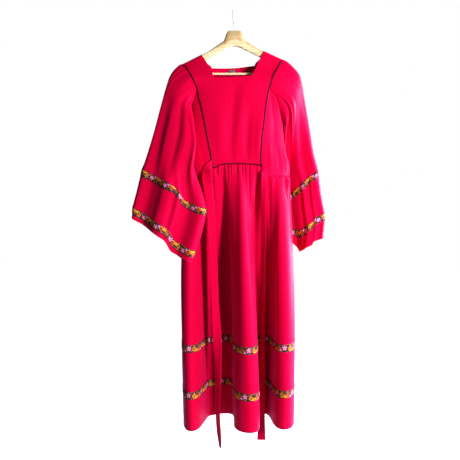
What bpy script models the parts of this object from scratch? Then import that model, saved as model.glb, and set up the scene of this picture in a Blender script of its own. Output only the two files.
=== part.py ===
# Maxi dress on a wooden hanger. Metres, Z up, the front faces -Y, X runs to the viewer's right.
# The origin is the place inside the crown of the hook where a rail carries it.
import math

import bmesh
import bpy
import numpy as np

# Sizes of the cloth.
CLOTH = 0.0012
BAND_CLOTH = 0.0010
GAP = 0.0003
SEAM_INSET = 0.00018
PIPING_R = 0.0016
BAND_HIGH = 0.026
HEM_Z = -1.488
WAIST_Z = -0.5624
SIDE_WAIST_Z = -0.605
HANG_SHIFT = 0.0065

# Columns of cloth points in each panel round the body.
SIDE_COLS = 8
CENTRE_COLS = 24
BACK_COLS = 34

# Levels of the skirt from the hem up; the second to fifth are the edges of the two bands.
BAND_LOWER_Z = -1.366
BAND_UPPER_Z = -1.205
SKIRT_Z = [
    HEM_Z,
    BAND_LOWER_Z - BAND_HIGH / 2,
    BAND_LOWER_Z + BAND_HIGH / 2,
    BAND_UPPER_Z - BAND_HIGH / 2,
    BAND_UPPER_Z + BAND_HIGH / 2,
    -1.03,
    -0.87,
    -0.75,
    -0.67,
    -0.628,
]

# The hem seen from above, from the left side seam across the front to the right side seam.
# Columns: x, y.
HEM_SIDE_LEFT = [
    (-0.182, 0.015),
    (-0.183, -0.025),
    (-0.178, -0.065),
    (-0.168, -0.095),
    (-0.150, -0.107),
    (-0.132, -0.096),
    (-0.118, -0.062),
    (-0.106, -0.015),
    (-0.094, 0.020),
]
HEM_CENTRE = [
    (-0.074, 0.032),
    (-0.050, 0.042),
    (-0.022, 0.044),
    (-0.006, 0.030),
    (-0.002, -0.020),
    (0.000, -0.072),
    (0.016, -0.104),
    (0.046, -0.120),
    (0.076, -0.112),
    (0.089, -0.076),
    (0.080, -0.030),
    (0.077, 0.008),
    (0.086, 0.034),
]
HEM_SIDE_RIGHT = [
    (0.104, 0.043),
    (0.121, 0.034),
    (0.131, 0.000),
    (0.139, -0.045),
    (0.151, -0.079),
    (0.172, -0.093),
    (0.195, -0.082),
    (0.209, -0.054),
    (0.214, -0.018),
]
HEM_BACK = [
    (0.212, 0.020),
    (0.204, 0.064),
    (0.180, 0.106),
    (0.142, 0.126),
    (0.106, 0.119),
    (0.080, 0.092),
    (0.058, 0.068),
    (0.034, 0.068),
    (0.014, 0.090),
    (-0.008, 0.118),
    (-0.038, 0.134),
    (-0.070, 0.127),
    (-0.096, 0.100),
    (-0.118, 0.076),
    (-0.142, 0.072),
    (-0.164, 0.060),
    (-0.178, 0.040),
]

# Sections of the body from the waist up.
# Columns: z, left side x, left curved seam x, right curved seam x, right side x, front depth,
# back depth, and how far short of the side fold the armhole cuts the section.
BODY = [
    (SIDE_WAIST_Z, -0.188, -0.0745, 0.0945, 0.201, 0.062, 0.056, 0.0),
    (WAIST_Z, -0.187, -0.0765, 0.0940, 0.199, 0.060, 0.054, 0.0),
    (-0.520, -0.180, -0.0850, 0.0950, 0.187, 0.057, 0.052, 0.0),
    (-0.465, -0.172, -0.0960, 0.0985, 0.177, 0.056, 0.050, 0.0),
    (-0.410, -0.166, -0.1065, 0.1055, 0.171, 0.055, 0.049, 0.0),
    (-0.356, -0.155, -0.1180, 0.1118, 0.161, 0.052, 0.046, 0.010),
    (-0.320, -0.144, -0.1270, 0.1180, 0.149, 0.049, 0.043, 0.022),
    (-0.2887, -0.1330, -0.1330, 0.1240, 0.1240, 0.046, 0.040, 0.045),
]

# The front above that, level by level up to the seam on top of the shoulder.
# Columns: armhole x, armhole z, neck edge x, neck edge z, depth, for the left and the right.
STRAP_LEFT = [
    (-0.1500, -0.2515, -0.0720, -0.2480, 0.040),
    (-0.1610, -0.2320, -0.0860, -0.2200, 0.030),
    (-0.1735, -0.2120, -0.1025, -0.1890, 0.019),
    (-0.1850, -0.2010, -0.1170, -0.1665, 0.0105),
    (-0.1866, -0.1950, -0.1190, -0.1612, 0.0062),
    (-0.1870, -0.1930, -0.1195, -0.1594, 0.0),
]
STRAP_RIGHT = [
    (0.1365, -0.2490, 0.0640, -0.2410, 0.040),
    (0.1470, -0.2270, 0.0770, -0.2110, 0.030),
    (0.1600, -0.2030, 0.0920, -0.1780, 0.019),
    (0.1720, -0.1850, 0.1045, -0.1535, 0.0105),
    (0.1736, -0.1793, 0.1065, -0.1484, 0.0062),
    (0.1740, -0.1775, 0.1070, -0.1466, 0.0),
]

# The back above the underarm. Columns: left armhole x, z, right armhole x, z, depth.
BACK = [
    (-0.1540, -0.356, 0.1600, -0.356, 0.046),
    (-0.1500, -0.320, 0.1520, -0.320, 0.043),
    (-0.1490, -0.2887, 0.1460, -0.2887, 0.040),
    (-0.1530, -0.2515, 0.1440, -0.2490, 0.034),
]
# Columns: left armhole x, z, left neck x, z, right neck x, z, right armhole x, z, depth.
BACK_STRAP = [
    (-0.1630, -0.2300, -0.0840, -0.2045, 0.0740, -0.1950, 0.1500, -0.2260, 0.026),
    (-0.1740, -0.2120, -0.1030, -0.1860, 0.0910, -0.1740, 0.1600, -0.2030, 0.018),
    (-0.1850, -0.2010, -0.1170, -0.1665, 0.1045, -0.1535, 0.1720, -0.1850, 0.0105),
    (-0.1866, -0.1950, -0.1190, -0.1612, 0.1065, -0.1484, 0.1736, -0.1793, 0.0062),
    (-0.1870, -0.1930, -0.1195, -0.1594, 0.1070, -0.1466, 0.1740, -0.1775, 0.0),
]
BACK_NECK_FIRST = 8
BACK_NECK_LAST = 26
NECK_FIRST = 8
NECK_LAST = 16

# Sleeves: outer fold and inner fold of the flattened tube, with its front and back bulge.
# Columns: outer x, y, z, inner x, y, z, front bulge, back bulge, front drop.
SLEEVE_LEFT = [
    (-0.2350, 0.000, -0.2340, -0.1790, -0.004, -0.4340, 0.044, 0.038, 0.0),
    (-0.2490, -0.010, -0.2860, -0.1730, -0.022, -0.4660, 0.040, 0.030, 0.0),
    (-0.2630, -0.022, -0.3450, -0.1650, -0.043, -0.5080, 0.036, 0.025, 0.0),
    (-0.2890, -0.040, -0.4520, -0.1420, -0.078, -0.5850, 0.031, 0.020, 0.0),
    (-0.3140, -0.054, -0.5400, -0.1120, -0.102, -0.6600, 0.029, 0.016, 0.0),
    (-0.3260, -0.060, -0.5750, -0.0990, -0.112, -0.7120, 0.029, 0.015, 0.0),
    (-0.3320, -0.062, -0.6000, -0.0990, -0.113, -0.7370, 0.029, 0.015, 0.0),
    (-0.3460, -0.068, -0.6620, -0.1140, -0.116, -0.8020, 0.030, 0.016, 0.0),
    (-0.3570, -0.073, -0.7070, -0.1320, -0.118, -0.8560, 0.031, 0.016, 0.0),
    (-0.3590, -0.074, -0.7320, -0.1400, -0.118, -0.8800, 0.031, 0.016, 0.0),
    (-0.3605, -0.075, -0.7470, -0.1470, -0.118, -0.8960, 0.031, 0.016, 0.0),
]
SLEEVE_RIGHT = [
    (0.2370, 0.000, -0.2300, 0.1850, 0.004, -0.4340, 0.038, 0.040, 0.0),
    (0.2500, 0.010, -0.2760, 0.1820, 0.020, -0.4660, 0.032, 0.038, 0.0),
    (0.2620, 0.018, -0.3430, 0.1840, 0.038, -0.5080, 0.028, 0.038, 0.0),
    (0.2780, 0.028, -0.4300, 0.1850, 0.074, -0.5850, 0.026, 0.038, 0.0),
    (0.2920, 0.033, -0.5150, 0.1880, 0.098, -0.6500, 0.026, 0.038, 0.004),
    (0.3100, 0.037, -0.5830, 0.1900, 0.110, -0.6900, 0.027, 0.040, 0.008),
    (0.3130, 0.038, -0.6090, 0.1910, 0.112, -0.7150, 0.027, 0.040, 0.010),
    (0.3230, 0.042, -0.6800, 0.1940, 0.118, -0.7560, 0.028, 0.042, 0.022),
    (0.3350, 0.046, -0.7420, 0.2000, 0.124, -0.7900, 0.030, 0.044, 0.038),
    (0.3360, 0.047, -0.7680, 0.2030, 0.125, -0.8120, 0.030, 0.044, 0.044),
    (0.3290, 0.047, -0.8380, 0.2060, 0.126, -0.8240, 0.030, 0.044, 0.058),
]
SLEEVE_BAND_ROWS = ((5, 6), (8, 9))

# Columns of sleeve points on each edge of the armhole, from the underarm up the front.
ARMHOLE_SPLIT = [5, 3, 2, 2, 2, 2, 2, 1, 1]

# Soft folds down the sleeves: where round the tube (0 inner, 0.25 front, 0.5 outer), how deep at
# the hem, how wide.
SLEEVE_FOLDS_LEFT = [
    (0.06, 0.012, 0.035),
    (0.17, -0.016, 0.035),
    (0.25, 0.012, 0.040),
    (0.35, -0.012, 0.035),
    (0.43, 0.008, 0.030),
    (0.66, 0.012, 0.040),
    (0.84, -0.010, 0.045),
]
SLEEVE_FOLDS_RIGHT = [
    (0.10, 0.012, 0.040),
    (0.20, -0.014, 0.035),
    (0.30, 0.012, 0.040),
    (0.41, -0.010, 0.035),
    (0.64, -0.010, 0.040),
    (0.80, 0.012, 0.045),
]

# The upper sleeve's slack hangs past the armhole: the left one in front of the body's side, the
# right one behind it. Where round the tube, how wide, how far in x and y, and the stations
# between which it fades.
SLEEVE_LAP_LEFT = (0.17, 0.11, 0.052, -0.026, 2.0, 4.0)
SLEEVE_LAP_RIGHT = (0.85, 0.10, -0.045, 0.025, 1.5, 3.5)

# Sashes: middle x, y, z of the strip, half its width, and how far it is turned, in degrees.
TIE_LEFT = [
    (-0.0802, -0.0612, -0.5620, 0.0160, 0.0),
    (-0.0985, -0.0710, -0.5830, 0.0170, -30.0),
    (-0.0985, -0.0760, -0.6060, 0.0172, -12.0),
    (-0.0905, -0.0790, -0.6600, 0.0165, 4.0),
    (-0.0822, -0.0760, -0.7500, 0.0155, 16.0),
    (-0.0768, -0.0690, -0.8600, 0.0155, 26.0),
    (-0.0712, -0.0600, -0.9800, 0.0155, 34.0),
    (-0.0664, -0.0520, -1.1000, 0.0155, 22.0),
    (-0.0615, -0.0470, -1.2000, 0.0160, -4.0),
    (-0.0595, -0.0440, -1.3000, 0.0155, -26.0),
    (-0.0595, -0.0430, -1.4350, 0.0150, -46.0),
    (-0.0555, -0.0430, -1.5170, 0.0130, -44.0),
    (-0.0512, -0.0430, -1.5740, 0.0060, -40.0),
]
TIE_RIGHT = [
    (0.0967, -0.0616, -0.5700, 0.0130, 0.0),
    (0.1040, -0.0690, -0.5960, 0.0100, 20.0),
    (0.1035, -0.0690, -0.6300, 0.0100, 0.0),
    (0.1030, -0.0600, -0.7000, 0.0105, -14.0),
    (0.1030, -0.0440, -0.8000, 0.0110, -26.0),
    (0.1025, -0.0230, -0.9400, 0.0115, -30.0),
    (0.1020, -0.0070, -1.1000, 0.0120, -28.0),
    (0.1015, 0.0030, -1.2500, 0.0125, -24.0),
    (0.1005, 0.0090, -1.3900, 0.0125, -20.0),
    (0.0995, 0.0110, -1.4850, 0.0125, -12.0),
    (0.0985, 0.0110, -1.5710, 0.0155, 0.0),
]

# Hanger arms. Columns: distance from the middle, top z at the left, top z at the right, height,
# half the thickness.
ARMS = [
    (0.2150, -0.2150, -0.2100, 0.016, 0.0040),
    (0.2080, -0.2085, -0.2020, 0.032, 0.0060),
    (0.1900, -0.1968, -0.1875, 0.046, 0.0065),
    (0.1636, -0.1833, -0.1748, 0.058, 0.0065),
    (0.1630, -0.1830, -0.1745, 0.026, 0.0065),
    (0.1400, -0.1717, -0.1642, 0.027, 0.0065),
    (0.1100, -0.1570, -0.1500, 0.028, 0.0065),
    (0.0860, -0.1425, -0.1385, 0.028, 0.0068),
    (0.0580, -0.1215, -0.1190, 0.033, 0.0072),
    (0.0440, -0.1080, -0.1070, 0.038, 0.0078),
    (0.0360, -0.0950, -0.0935, 0.047, 0.0084),
    (0.0290, -0.0800, -0.0810, 0.058, 0.0090),
    (0.0220, -0.0740, -0.0740, 0.061, 0.0090),
    (0.0, -0.0730, -0.0730, 0.056, 0.0090),
]
BAR_Z = -0.2300
BAR_R = 0.0040
BAR_HALF = 0.1630

HOOK_WIRE_R = 0.00175
HOOK_BEND_R = 0.0205
HOOK_FOOT_Z = -0.0726

for old in list(bpy.data.objects):
    bpy.data.objects.remove(old, do_unlink=True)


def material(name, colour, rough, metal=0.0):
    """One plain paint for one node."""
    made = bpy.data.materials.new(name)
    made.use_nodes = True
    shader = made.node_tree.nodes["Principled BSDF"]
    shader.inputs["Base Color"].default_value = (*colour, 1.0)
    shader.inputs["Roughness"].default_value = rough
    shader.inputs["Metallic"].default_value = metal
    return made


RED = (0.60, 0.012, 0.060)
DARK = (0.070, 0.006, 0.014)
PRINT = (0.22, 0.11, 0.05)
WOOD = (0.72, 0.55, 0.30)


def solid(name, points, faces, colour, rough=0.6, metal=0.0):
    """A closed body from its points and faces, turned to face outward, as one named object."""
    mesh = bpy.data.meshes.new(name)
    moved = [(float(p[0]) + HANG_SHIFT, float(p[1]), float(p[2])) for p in points]
    mesh.from_pydata(moved, [], faces)
    work = bmesh.new()
    work.from_mesh(mesh)
    bmesh.ops.triangulate(work, faces=work.faces)
    bmesh.ops.recalc_face_normals(work, faces=work.faces)
    work.to_mesh(mesh)
    work.free()
    made = bpy.data.objects.new(name, mesh)
    bpy.context.scene.collection.objects.link(made)
    mesh.materials.append(material(name + "_mat", colour, rough, metal))
    return made


def unit(v):
    size = np.linalg.norm(v)
    return v / size if size > 1e-12 else v


class Panel:
    """A piece of cloth as points and faces, whose seam points other pieces share."""

    def __init__(self, name, flip=False):
        self.name = name
        self.flip = flip
        self.points = []
        self.index = {}
        self.faces = []

    def point(self, p):
        key = tuple(int(round(c * 1e6)) for c in p)
        if key not in self.index:
            self.index[key] = len(self.points)
            self.points.append(np.array(p, float))
        return self.index[key]

    def face(self, *corners):
        ids = []
        for p in corners:
            i = self.point(p)
            if i not in ids:
                ids.append(i)
        if len(ids) < 3:
            return
        self.faces.append(ids[::-1] if self.flip else ids)

    def grid(self, rows):
        """Faces between rows of points; rows run upward for the body."""
        for low, high in zip(rows[:-1], rows[1:]):
            for k in range(len(low) - 1):
                self.face(low[k], low[k + 1], high[k + 1], high[k])


shared = {}


def face_normal(points, ids):
    """The normal of a face, long in proportion to its area."""
    total = np.zeros(3)
    for k in range(len(ids)):
        total += np.cross(points[ids[k]], points[ids[(k + 1) % len(ids)]])
    return total


def weld(panels):
    """Adds up the normals of every piece at the points that they share."""
    for panel in panels:
        for ids in panel.faces:
            n = unit(face_normal(panel.points, ids))
            for i in ids:
                key = tuple(int(round(c * 1e6)) for c in panel.points[i])
                shared[key] = shared.get(key, np.zeros(3)) + n


def normal_at(p):
    return unit(shared[tuple(int(round(c * 1e6)) for c in p)])


def split(points, ids):
    """A face as triangles, cut across its shorter way so both sides of the cloth agree."""
    if len(ids) == 3:
        return [list(ids)]
    a, b, c, d = ids
    if np.linalg.norm(points[a] - points[c]) <= np.linalg.norm(points[b] - points[d]):
        return [[a, b, c], [a, c, d]]
    return [[a, b, d], [b, c, d]]


def thicken(panel, colour, thick=CLOTH, rough=0.6, inset=SEAM_INSET):
    """The cloth as a closed wall, its border drawn in by half of the gap at a seam."""
    base = [p.copy() for p in panel.points]
    normals = [normal_at(p) for p in panel.points]
    edges = {}
    for ids in panel.faces:
        for k in range(len(ids)):
            a, b = ids[k], ids[(k + 1) % len(ids)]
            edges.setdefault((min(a, b), max(a, b)), []).append((a, b, ids))
    border = {}
    rim = []
    for found in edges.values():
        if len(found) == 1:
            a, b, ids = found[0]
            rim.append((a, b))
            along = unit(base[b] - base[a])
            inward = unit(np.cross(unit(face_normal(base, ids)), along))
            border.setdefault(a, []).append(inward)
            border.setdefault(b, []).append(inward)
    moved = [p.copy() for p in base]
    for i, ways in border.items():
        if len(ways) == 2:
            push = (ways[0] + ways[1]) / max(0.45, 1.0 + float(ways[0] @ ways[1]))
        else:
            push = unit(sum(ways))
        moved[i] = base[i] + inset * push
    outer = [p + n * thick / 2 for p, n in zip(moved, normals)]
    inner = [p - n * thick / 2 for p, n in zip(moved, normals)]
    count = len(base)
    faces = []
    for ids in panel.faces:
        faces += split(base, ids)
    faces += [[count + i for i in reversed(ids)] for ids in faces]
    faces += [[b, a, count + a, count + b] for a, b in rim]
    return solid(panel.name, outer + inner, faces, colour, rough)


def smooth_line(points, per, closed=False):
    """A soft line through the points, with some points between each pair."""
    pts = [np.array(p, float) for p in points]
    n = len(pts)
    out = []
    spans = n if closed else n - 1
    for k in range(spans):
        if closed:
            p0, p1, p2, p3 = (pts[(k + d) % n] for d in (-1, 0, 1, 2))
        else:
            p1, p2 = pts[k], pts[k + 1]
            p0 = pts[k - 1] if k else 2 * p1 - p2
            p3 = pts[k + 2] if k + 2 < n else 2 * p2 - p1
        for s in range(per):
            t = s / per
            out.append(
                0.5
                * (
                    2 * p1
                    + (p2 - p0) * t
                    + (2 * p0 - 5 * p1 + 4 * p2 - p3) * t * t
                    + (3 * p1 - p0 - 3 * p2 + p3) * t**3
                )
            )
    if not closed:
        out.append(pts[-1])
    return np.array(out)


def even(line, count):
    """The line again with count steps of the same length."""
    line = np.array(line, float)
    far = np.concatenate([[0], np.cumsum(np.linalg.norm(np.diff(line, axis=0), axis=1))])
    at = np.linspace(0, far[-1], count + 1)
    return np.stack([np.interp(at, far, line[:, c]) for c in range(line.shape[1])], axis=1)


def hem_ring():
    """Points of the hem from above, panel by panel, the last point of one the first of the next."""
    parts = [HEM_SIDE_LEFT, HEM_CENTRE, HEM_SIDE_RIGHT, HEM_BACK]
    per = 12
    loop = smooth_line([p for part in parts for p in part], per, closed=True)
    loop = np.vstack([loop, loop[:1]])
    out = []
    at = 0
    for part, cols in zip(parts, (SIDE_COLS, CENTRE_COLS, SIDE_COLS, BACK_COLS)):
        piece = loop[at : at + per * len(part) + 1]
        out.append(even(piece, cols))
        at += per * len(part)
    return out


def body_section(row):
    """A level of the body, panel by panel, as points."""
    z, left, seam_l, seam_r, right, front, back, short = row
    middle = (left + right) / 2
    half = (right - left) / 2 + short

    def front_y(x):
        s = min(1.0, abs((x - middle) / half))
        return -front * math.sqrt(max(0.0, 1 - s**4))

    def turn(x0, x1, cols, depth):
        a = math.asin(max(-1, min(1, (x0 - middle) / half)))
        b = math.asin(max(-1, min(1, (x1 - middle) / half)))
        out = []
        for k in range(cols + 1):
            x = middle + half * math.sin(a + (b - a) * k / cols)
            s = min(1.0, abs((x - middle) / half))
            out.append((x, depth * math.sqrt(max(0.0, 1 - s**4)), z))
        return np.array(out)

    side_left = turn(left, seam_l, SIDE_COLS, -front)
    centre = np.array(
        [
            (x, front_y(x), z)
            for x in np.linspace(seam_l, seam_r, CENTRE_COLS + 1)
        ]
    )
    side_right = turn(seam_r, right, SIDE_COLS, -front)
    rear = turn(right, left, BACK_COLS, back)
    side_left[-1] = centre[0]
    side_right[0] = centre[-1]
    if short == 0.0:
        side_left[0] = (left, 0.0, z)
        side_right[-1] = (right, 0.0, z)
    rear[0] = side_right[-1]
    rear[-1] = side_left[0]
    return [side_left, centre, side_right, rear]


waist = body_section(BODY[0])
hem = hem_ring()


def skirt_section(z):
    """A level of the skirt: the waist shape opening into the folds of the hem."""
    t = (SIDE_WAIST_Z - z) / (SIDE_WAIST_Z - HEM_Z)
    share = np.array([1 - (1 - t) ** 1.3, 1 - (1 - t) ** 2.0])
    gather = 0.0028 * min(1.0, t / 0.045) * max(0.0, 1 - t / 0.30)
    out = []
    for part, (top, low) in enumerate(zip(waist, hem)):
        flat = top[:, :2] * (1 - share) + low * share
        flat[:, 0] *= 1 + 0.040 * math.sin(math.pi * t)
        rows = np.column_stack([flat, np.full(len(flat), z)])
        away = rows[:, :2] - np.array([0.01, 0.0])
        away /= np.linalg.norm(away, axis=1)[:, None]
        wave = np.array([(1 if k % 2 else -1) for k in range(len(rows))], float)
        wave[0] = wave[-1] = 0.0
        rows[:, :2] += away * (gather * wave)[:, None]
        out.append(rows)
    return out


skirt = [skirt_section(z) for z in SKIRT_Z]
levels = [body_section(row) for row in BODY]

# The middle skirt panel is already gathered where the side panels begin.
gathered = levels[0][1].copy()
for k in range(1, CENTRE_COLS):
    gathered[k][1] -= 0.0028 * (1 if k % 2 else -1)

# The skirt panels. The middle one reaches up to the waist seam, the others to the lower one.
skirt_left = Panel("skirt_front_left")
skirt_left.grid([level[0] for level in skirt] + [levels[0][0]])
skirt_centre = Panel("skirt_front_centre")
skirt_centre.grid([level[1] for level in skirt] + [gathered, levels[1][1]])
skirt_right = Panel("skirt_front_right")
skirt_right.grid([level[2] for level in skirt] + [levels[0][2]])
skirt_back = Panel("skirt_back")
skirt_back.grid([level[3] for level in skirt] + [levels[0][3]])

# The side panels of the bodice end in a point where the curved seam meets the armhole.
side_left = Panel("bodice_side_left")
side_left.grid([level[0] for level in levels])
side_right = Panel("bodice_side_right")
side_right.grid([level[2] for level in levels])


def strap_row(arm, cols):
    """A row from the armhole edge to the neck edge."""
    ax, az, nx, nz, depth = arm
    return np.array(
        [
            (ax + (nx - ax) * k / cols, -depth, az + (nz - az) * k / cols)
            for k in range(cols + 1)
        ]
    )


def strap_rows():
    """Rows of the front above the point of the side panels: left strap, right strap."""
    left = [strap_row(row, NECK_FIRST) for row in STRAP_LEFT]
    right = [strap_row(row, CENTRE_COLS - NECK_LAST)[::-1] for row in STRAP_RIGHT]
    return left, right


front_left, front_right = strap_rows()
front = Panel("bodice_front_centre")
front.grid([level[1] for level in levels[1:]])
neck_low = []
for k in range(NECK_FIRST, NECK_LAST + 1):
    t = (k - NECK_FIRST) / (NECK_LAST - NECK_FIRST)
    x = STRAP_LEFT[0][2] + (STRAP_RIGHT[0][2] - STRAP_LEFT[0][2]) * t
    z = STRAP_LEFT[0][3] + (STRAP_RIGHT[0][3] - STRAP_LEFT[0][3]) * t
    neck_low.append((x, -STRAP_LEFT[0][4], z - 0.002 * math.sin(math.pi * t)))
whole = np.vstack([front_left[0][:-1], np.array(neck_low), front_right[0][1:]])
front.grid([levels[-1][1], whole])
front.grid([whole[: NECK_FIRST + 1]] + front_left[1:])
front.grid([whole[NECK_LAST:]] + front_right[1:])

# The back: rows run from the right side to the left.
back = Panel("bodice_back")
back_rows = [levels[k][3] for k in range(5)]


def back_row(right, left, depth, cols):
    """A row of the back that bulges between its two ends."""
    out = []
    for k in range(cols + 1):
        t = k / cols
        x = right[0] + (left[0] - right[0]) * t
        z = right[1] + (left[1] - right[1]) * t
        out.append((x, depth * (0.72 + 0.28 * math.sin(math.pi * t)), z))
    return np.array(out)


for lx, lz, rx, rz, depth in BACK:
    back_rows.append(back_row((rx, rz), (lx, lz), depth, BACK_COLS))
back.grid(back_rows)
strap_right = []
strap_left = []
for lx, lz, nlx, nlz, nrx, nrz, rx, rz, depth in BACK_STRAP:
    cols = BACK_NECK_FIRST
    a = np.linspace((rx, depth, rz), (nrx, depth, nrz), cols + 1)
    b = np.linspace((nlx, depth, nlz), (lx, depth, lz), BACK_COLS - BACK_NECK_LAST + 1)
    strap_right.append(a)
    strap_left.append(b)
middle = []
for k in range(BACK_NECK_FIRST, BACK_NECK_LAST + 1):
    t = (k - BACK_NECK_FIRST) / (BACK_NECK_LAST - BACK_NECK_FIRST)
    first = strap_right[0][-1]
    last = strap_left[0][0]
    p = first * (1 - t) + last * t
    p = p + np.array([0.0, 0.004 * math.sin(math.pi * t), -0.004 * math.sin(math.pi * t)])
    middle.append(p)
top = np.vstack([strap_right[0][:-1], np.array(middle), strap_left[0][1:]])
back.grid([back_rows[-1], top])
back.grid([top[: BACK_NECK_FIRST + 1]] + strap_right[1:])
back.grid([top[BACK_NECK_LAST:]] + strap_left[1:])

# The armhole loops, from the underarm up the front, over the shoulder and down the back.
arm_front_left = [levels[k][0][0] for k in range(4, 8)] + [row[0] for row in front_left]
arm_back_left = [row[-1] for row in strap_left[::-1]] + [row[-1] for row in back_rows[:3:-1]]
arm_front_right = [levels[k][2][-1] for k in range(4, 8)] + [row[-1] for row in front_right]
arm_back_right = [row[0] for row in strap_right[::-1]] + [row[0] for row in back_rows[:3:-1]]


def armhole(front_edge, back_edge):
    """The loop with points added on its straight edges, and where each lies round the tube."""
    out = []
    for line, splits in ((front_edge, ARMHOLE_SPLIT), (back_edge, ARMHOLE_SPLIT[::-1])):
        for k in range(len(line) - 1):
            for s in range(splits[k]):
                out.append(line[k] + (line[k + 1] - line[k]) * s / splits[k])
    return np.array(out)


def bell(u, at, wide):
    """A soft bump round the tube, 1 at its middle."""
    d = abs((u - at + 0.5) % 1.0 - 0.5)
    return math.exp(-((d / wide) ** 2))


def sleeve_rows(loop, table, folds, lap, side):
    """Rings of a sleeve from the armhole down."""
    n = len(loop)
    lap_at, lap_wide, lap_x, lap_y, lap_whole, lap_gone = lap
    start = []
    first = []
    tops = loop[:, 2].max() - loop[:, 2].min()
    by_height = []
    for k in range(n):
        share = (loop[k][2] - loop[:, 2].min()) / tops
        turn = math.acos(max(-1.0, min(1.0, 1 - 2 * share))) / (2 * math.pi)
        by_height.append(turn if k <= n // 2 else 1 - turn)
    for k in range(n):
        u = by_height[k]
        high = 0.5 - 0.5 * math.cos(2 * math.pi * u)
        wave = 0.0035 * (1 if k % 2 else -1) * high
        step = np.array(
            [
                side * (0.013 + 0.004 * high),
                -(0.003 + wave) * math.sin(2 * math.pi * u),
                -0.012 * (1 - high) - 0.001 * high,
            ]
        )
        start.append(loop[k] + unit(step) * (0.0009 + 0.0010 * (1 - high)))
        first.append(loop[k] + step)
    rows = [np.array(start), np.array(first)]
    last = len(table) - 1
    for at, row in enumerate(table):
        outer = np.array(row[0:3])
        inner = np.array(row[3:6])
        bulge_front, bulge_back, drop = row[6:9]
        across = inner - outer
        flat = unit(np.array([across[1], -across[0], 0.0]))
        if flat[1] > 0:
            flat = -flat
        ring = []
        for k in range(n):
            mix = min(1.0, at / 4)
            u = by_height[k] * (1 - mix) + k / n * mix
            c = math.cos(2 * math.pi * u)
            s = math.sin(2 * math.pi * u)
            bulge = bulge_front if s > 0 else bulge_back
            depth = bulge * s
            for where, deep, wide in folds:
                grow = (at / last) ** 0.7
                depth += deep * grow * bell(u, where, wide) * (1 if where < 0.5 else -1)
            if at < 3:
                high = 0.5 - 0.5 * c
                depth += 0.0030 * (1 - at / 3) * (1 if k % 2 else -1) * abs(s) * high
            p = (outer + inner) / 2 + across / 2 * c + flat * depth
            fade = max(0.0, min(1.0, (lap_gone - at) / (lap_gone - lap_whole)))
            slack = fade * bell(u, lap_at, lap_wide)
            p += np.array([lap_x * slack, lap_y * slack, 0.0])
            if s > 0:
                p[2] -= drop * min((1 + c) / 1.15, (1 - c) / 0.85)
            ring.append(p)
        rows.append(np.array(ring))
    return rows


def closed_rows(rows):
    return [np.vstack([row, row[:1]]) for row in rows]


loop_left = armhole(arm_front_left, arm_back_left)
loop_right = armhole(arm_front_right, arm_back_right)
rows_left = sleeve_rows(loop_left, SLEEVE_LEFT, SLEEVE_FOLDS_LEFT, SLEEVE_LAP_LEFT, -1)
rows_right = sleeve_rows(loop_right, SLEEVE_RIGHT, SLEEVE_FOLDS_RIGHT, SLEEVE_LAP_RIGHT, 1)
sleeve_left = Panel("sleeve_left")
sleeve_left.grid(closed_rows(rows_left))
sleeve_right = Panel("sleeve_right", flip=True)
sleeve_right.grid(closed_rows(rows_right))

body = [skirt_left, skirt_centre, skirt_right, skirt_back, side_left, side_right, front, back]
weld(body + [sleeve_left, sleeve_right])
for panel in body + [sleeve_left, sleeve_right]:
    thicken(panel, RED)


def band(name, low, high, flip=False):
    """A ribbon laid on closed rows of the cloth below it."""
    out = CLOTH / 2 + GAP + BAND_CLOTH / 2
    rows = [[p + normal_at(p) * out for p in row] for row in (low, high)]
    ribbon = Panel(name, flip)
    ribbon.grid(rows)
    weld([ribbon])
    return thicken(ribbon, PRINT, BAND_CLOTH, 0.7, 0.0)


def ring_of(level):
    """A level of the skirt as one closed row."""
    return np.vstack([level[0], level[1][1:], level[2][1:], level[3][1:]])


band("skirt_band_lower", ring_of(skirt[1]), ring_of(skirt[2]))
band("skirt_band_upper", ring_of(skirt[3]), ring_of(skirt[4]))
for label, rows, flip in (("left", rows_left, False), ("right", rows_right, True)):
    for place, (a, b) in zip(("upper", "lower"), SLEEVE_BAND_ROWS):
        pair = closed_rows([rows[a + 2], rows[b + 2]])
        band(f"sleeve_{label}_band_{place}", pair[0], pair[1], flip)


def tube(name, line, radius, sides, colour, rough, metal=0.0):
    """A round cord along a line, closed at its ends."""
    line = [np.array(p, float) for p in line]
    ways = []
    for k in range(len(line)):
        a = line[max(0, k - 1)]
        b = line[min(len(line) - 1, k + 1)]
        ways.append(unit(b - a))
    side = unit(np.cross(ways[0], np.array([0.3, 0.9, 0.2])))
    points = []
    for p, way in zip(line, ways):
        side = unit(side - way * float(side @ way))
        other = np.cross(way, side)
        for s in range(sides):
            a = 2 * math.pi * s / sides
            points.append(p + radius * (math.cos(a) * side + math.sin(a) * other))
    faces = []
    for k in range(len(line) - 1):
        for s in range(sides):
            t = (s + 1) % sides
            faces.append([k * sides + s, k * sides + t, (k + 1) * sides + t, (k + 1) * sides + s])
    faces.append(list(range(sides))[::-1])
    faces.append([(len(line) - 1) * sides + s for s in range(sides)])
    return solid(name, points, faces, colour, rough, metal)


def on_seam(points, out):
    return [p + normal_at(p) * out for p in points]


PIPING_OUT = CLOTH / 2 + GAP + PIPING_R
piping_l = [level[1][0] for level in levels[1:]] + [row[0] for row in front_left[:-1]]
piping_r = [level[1][-1] for level in levels[1:]] + [row[-1] for row in front_right[:-1]]
tube("piping_left", on_seam(piping_l, PIPING_OUT), PIPING_R, 6, DARK, 0.55)
tube("piping_right", on_seam(piping_r, PIPING_OUT), PIPING_R, 6, DARK, 0.55)
waist_line = on_seam(levels[1][1][1:-1:2], PIPING_OUT)
tube("piping_waist", waist_line, PIPING_R, 6, DARK, 0.55)


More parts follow.
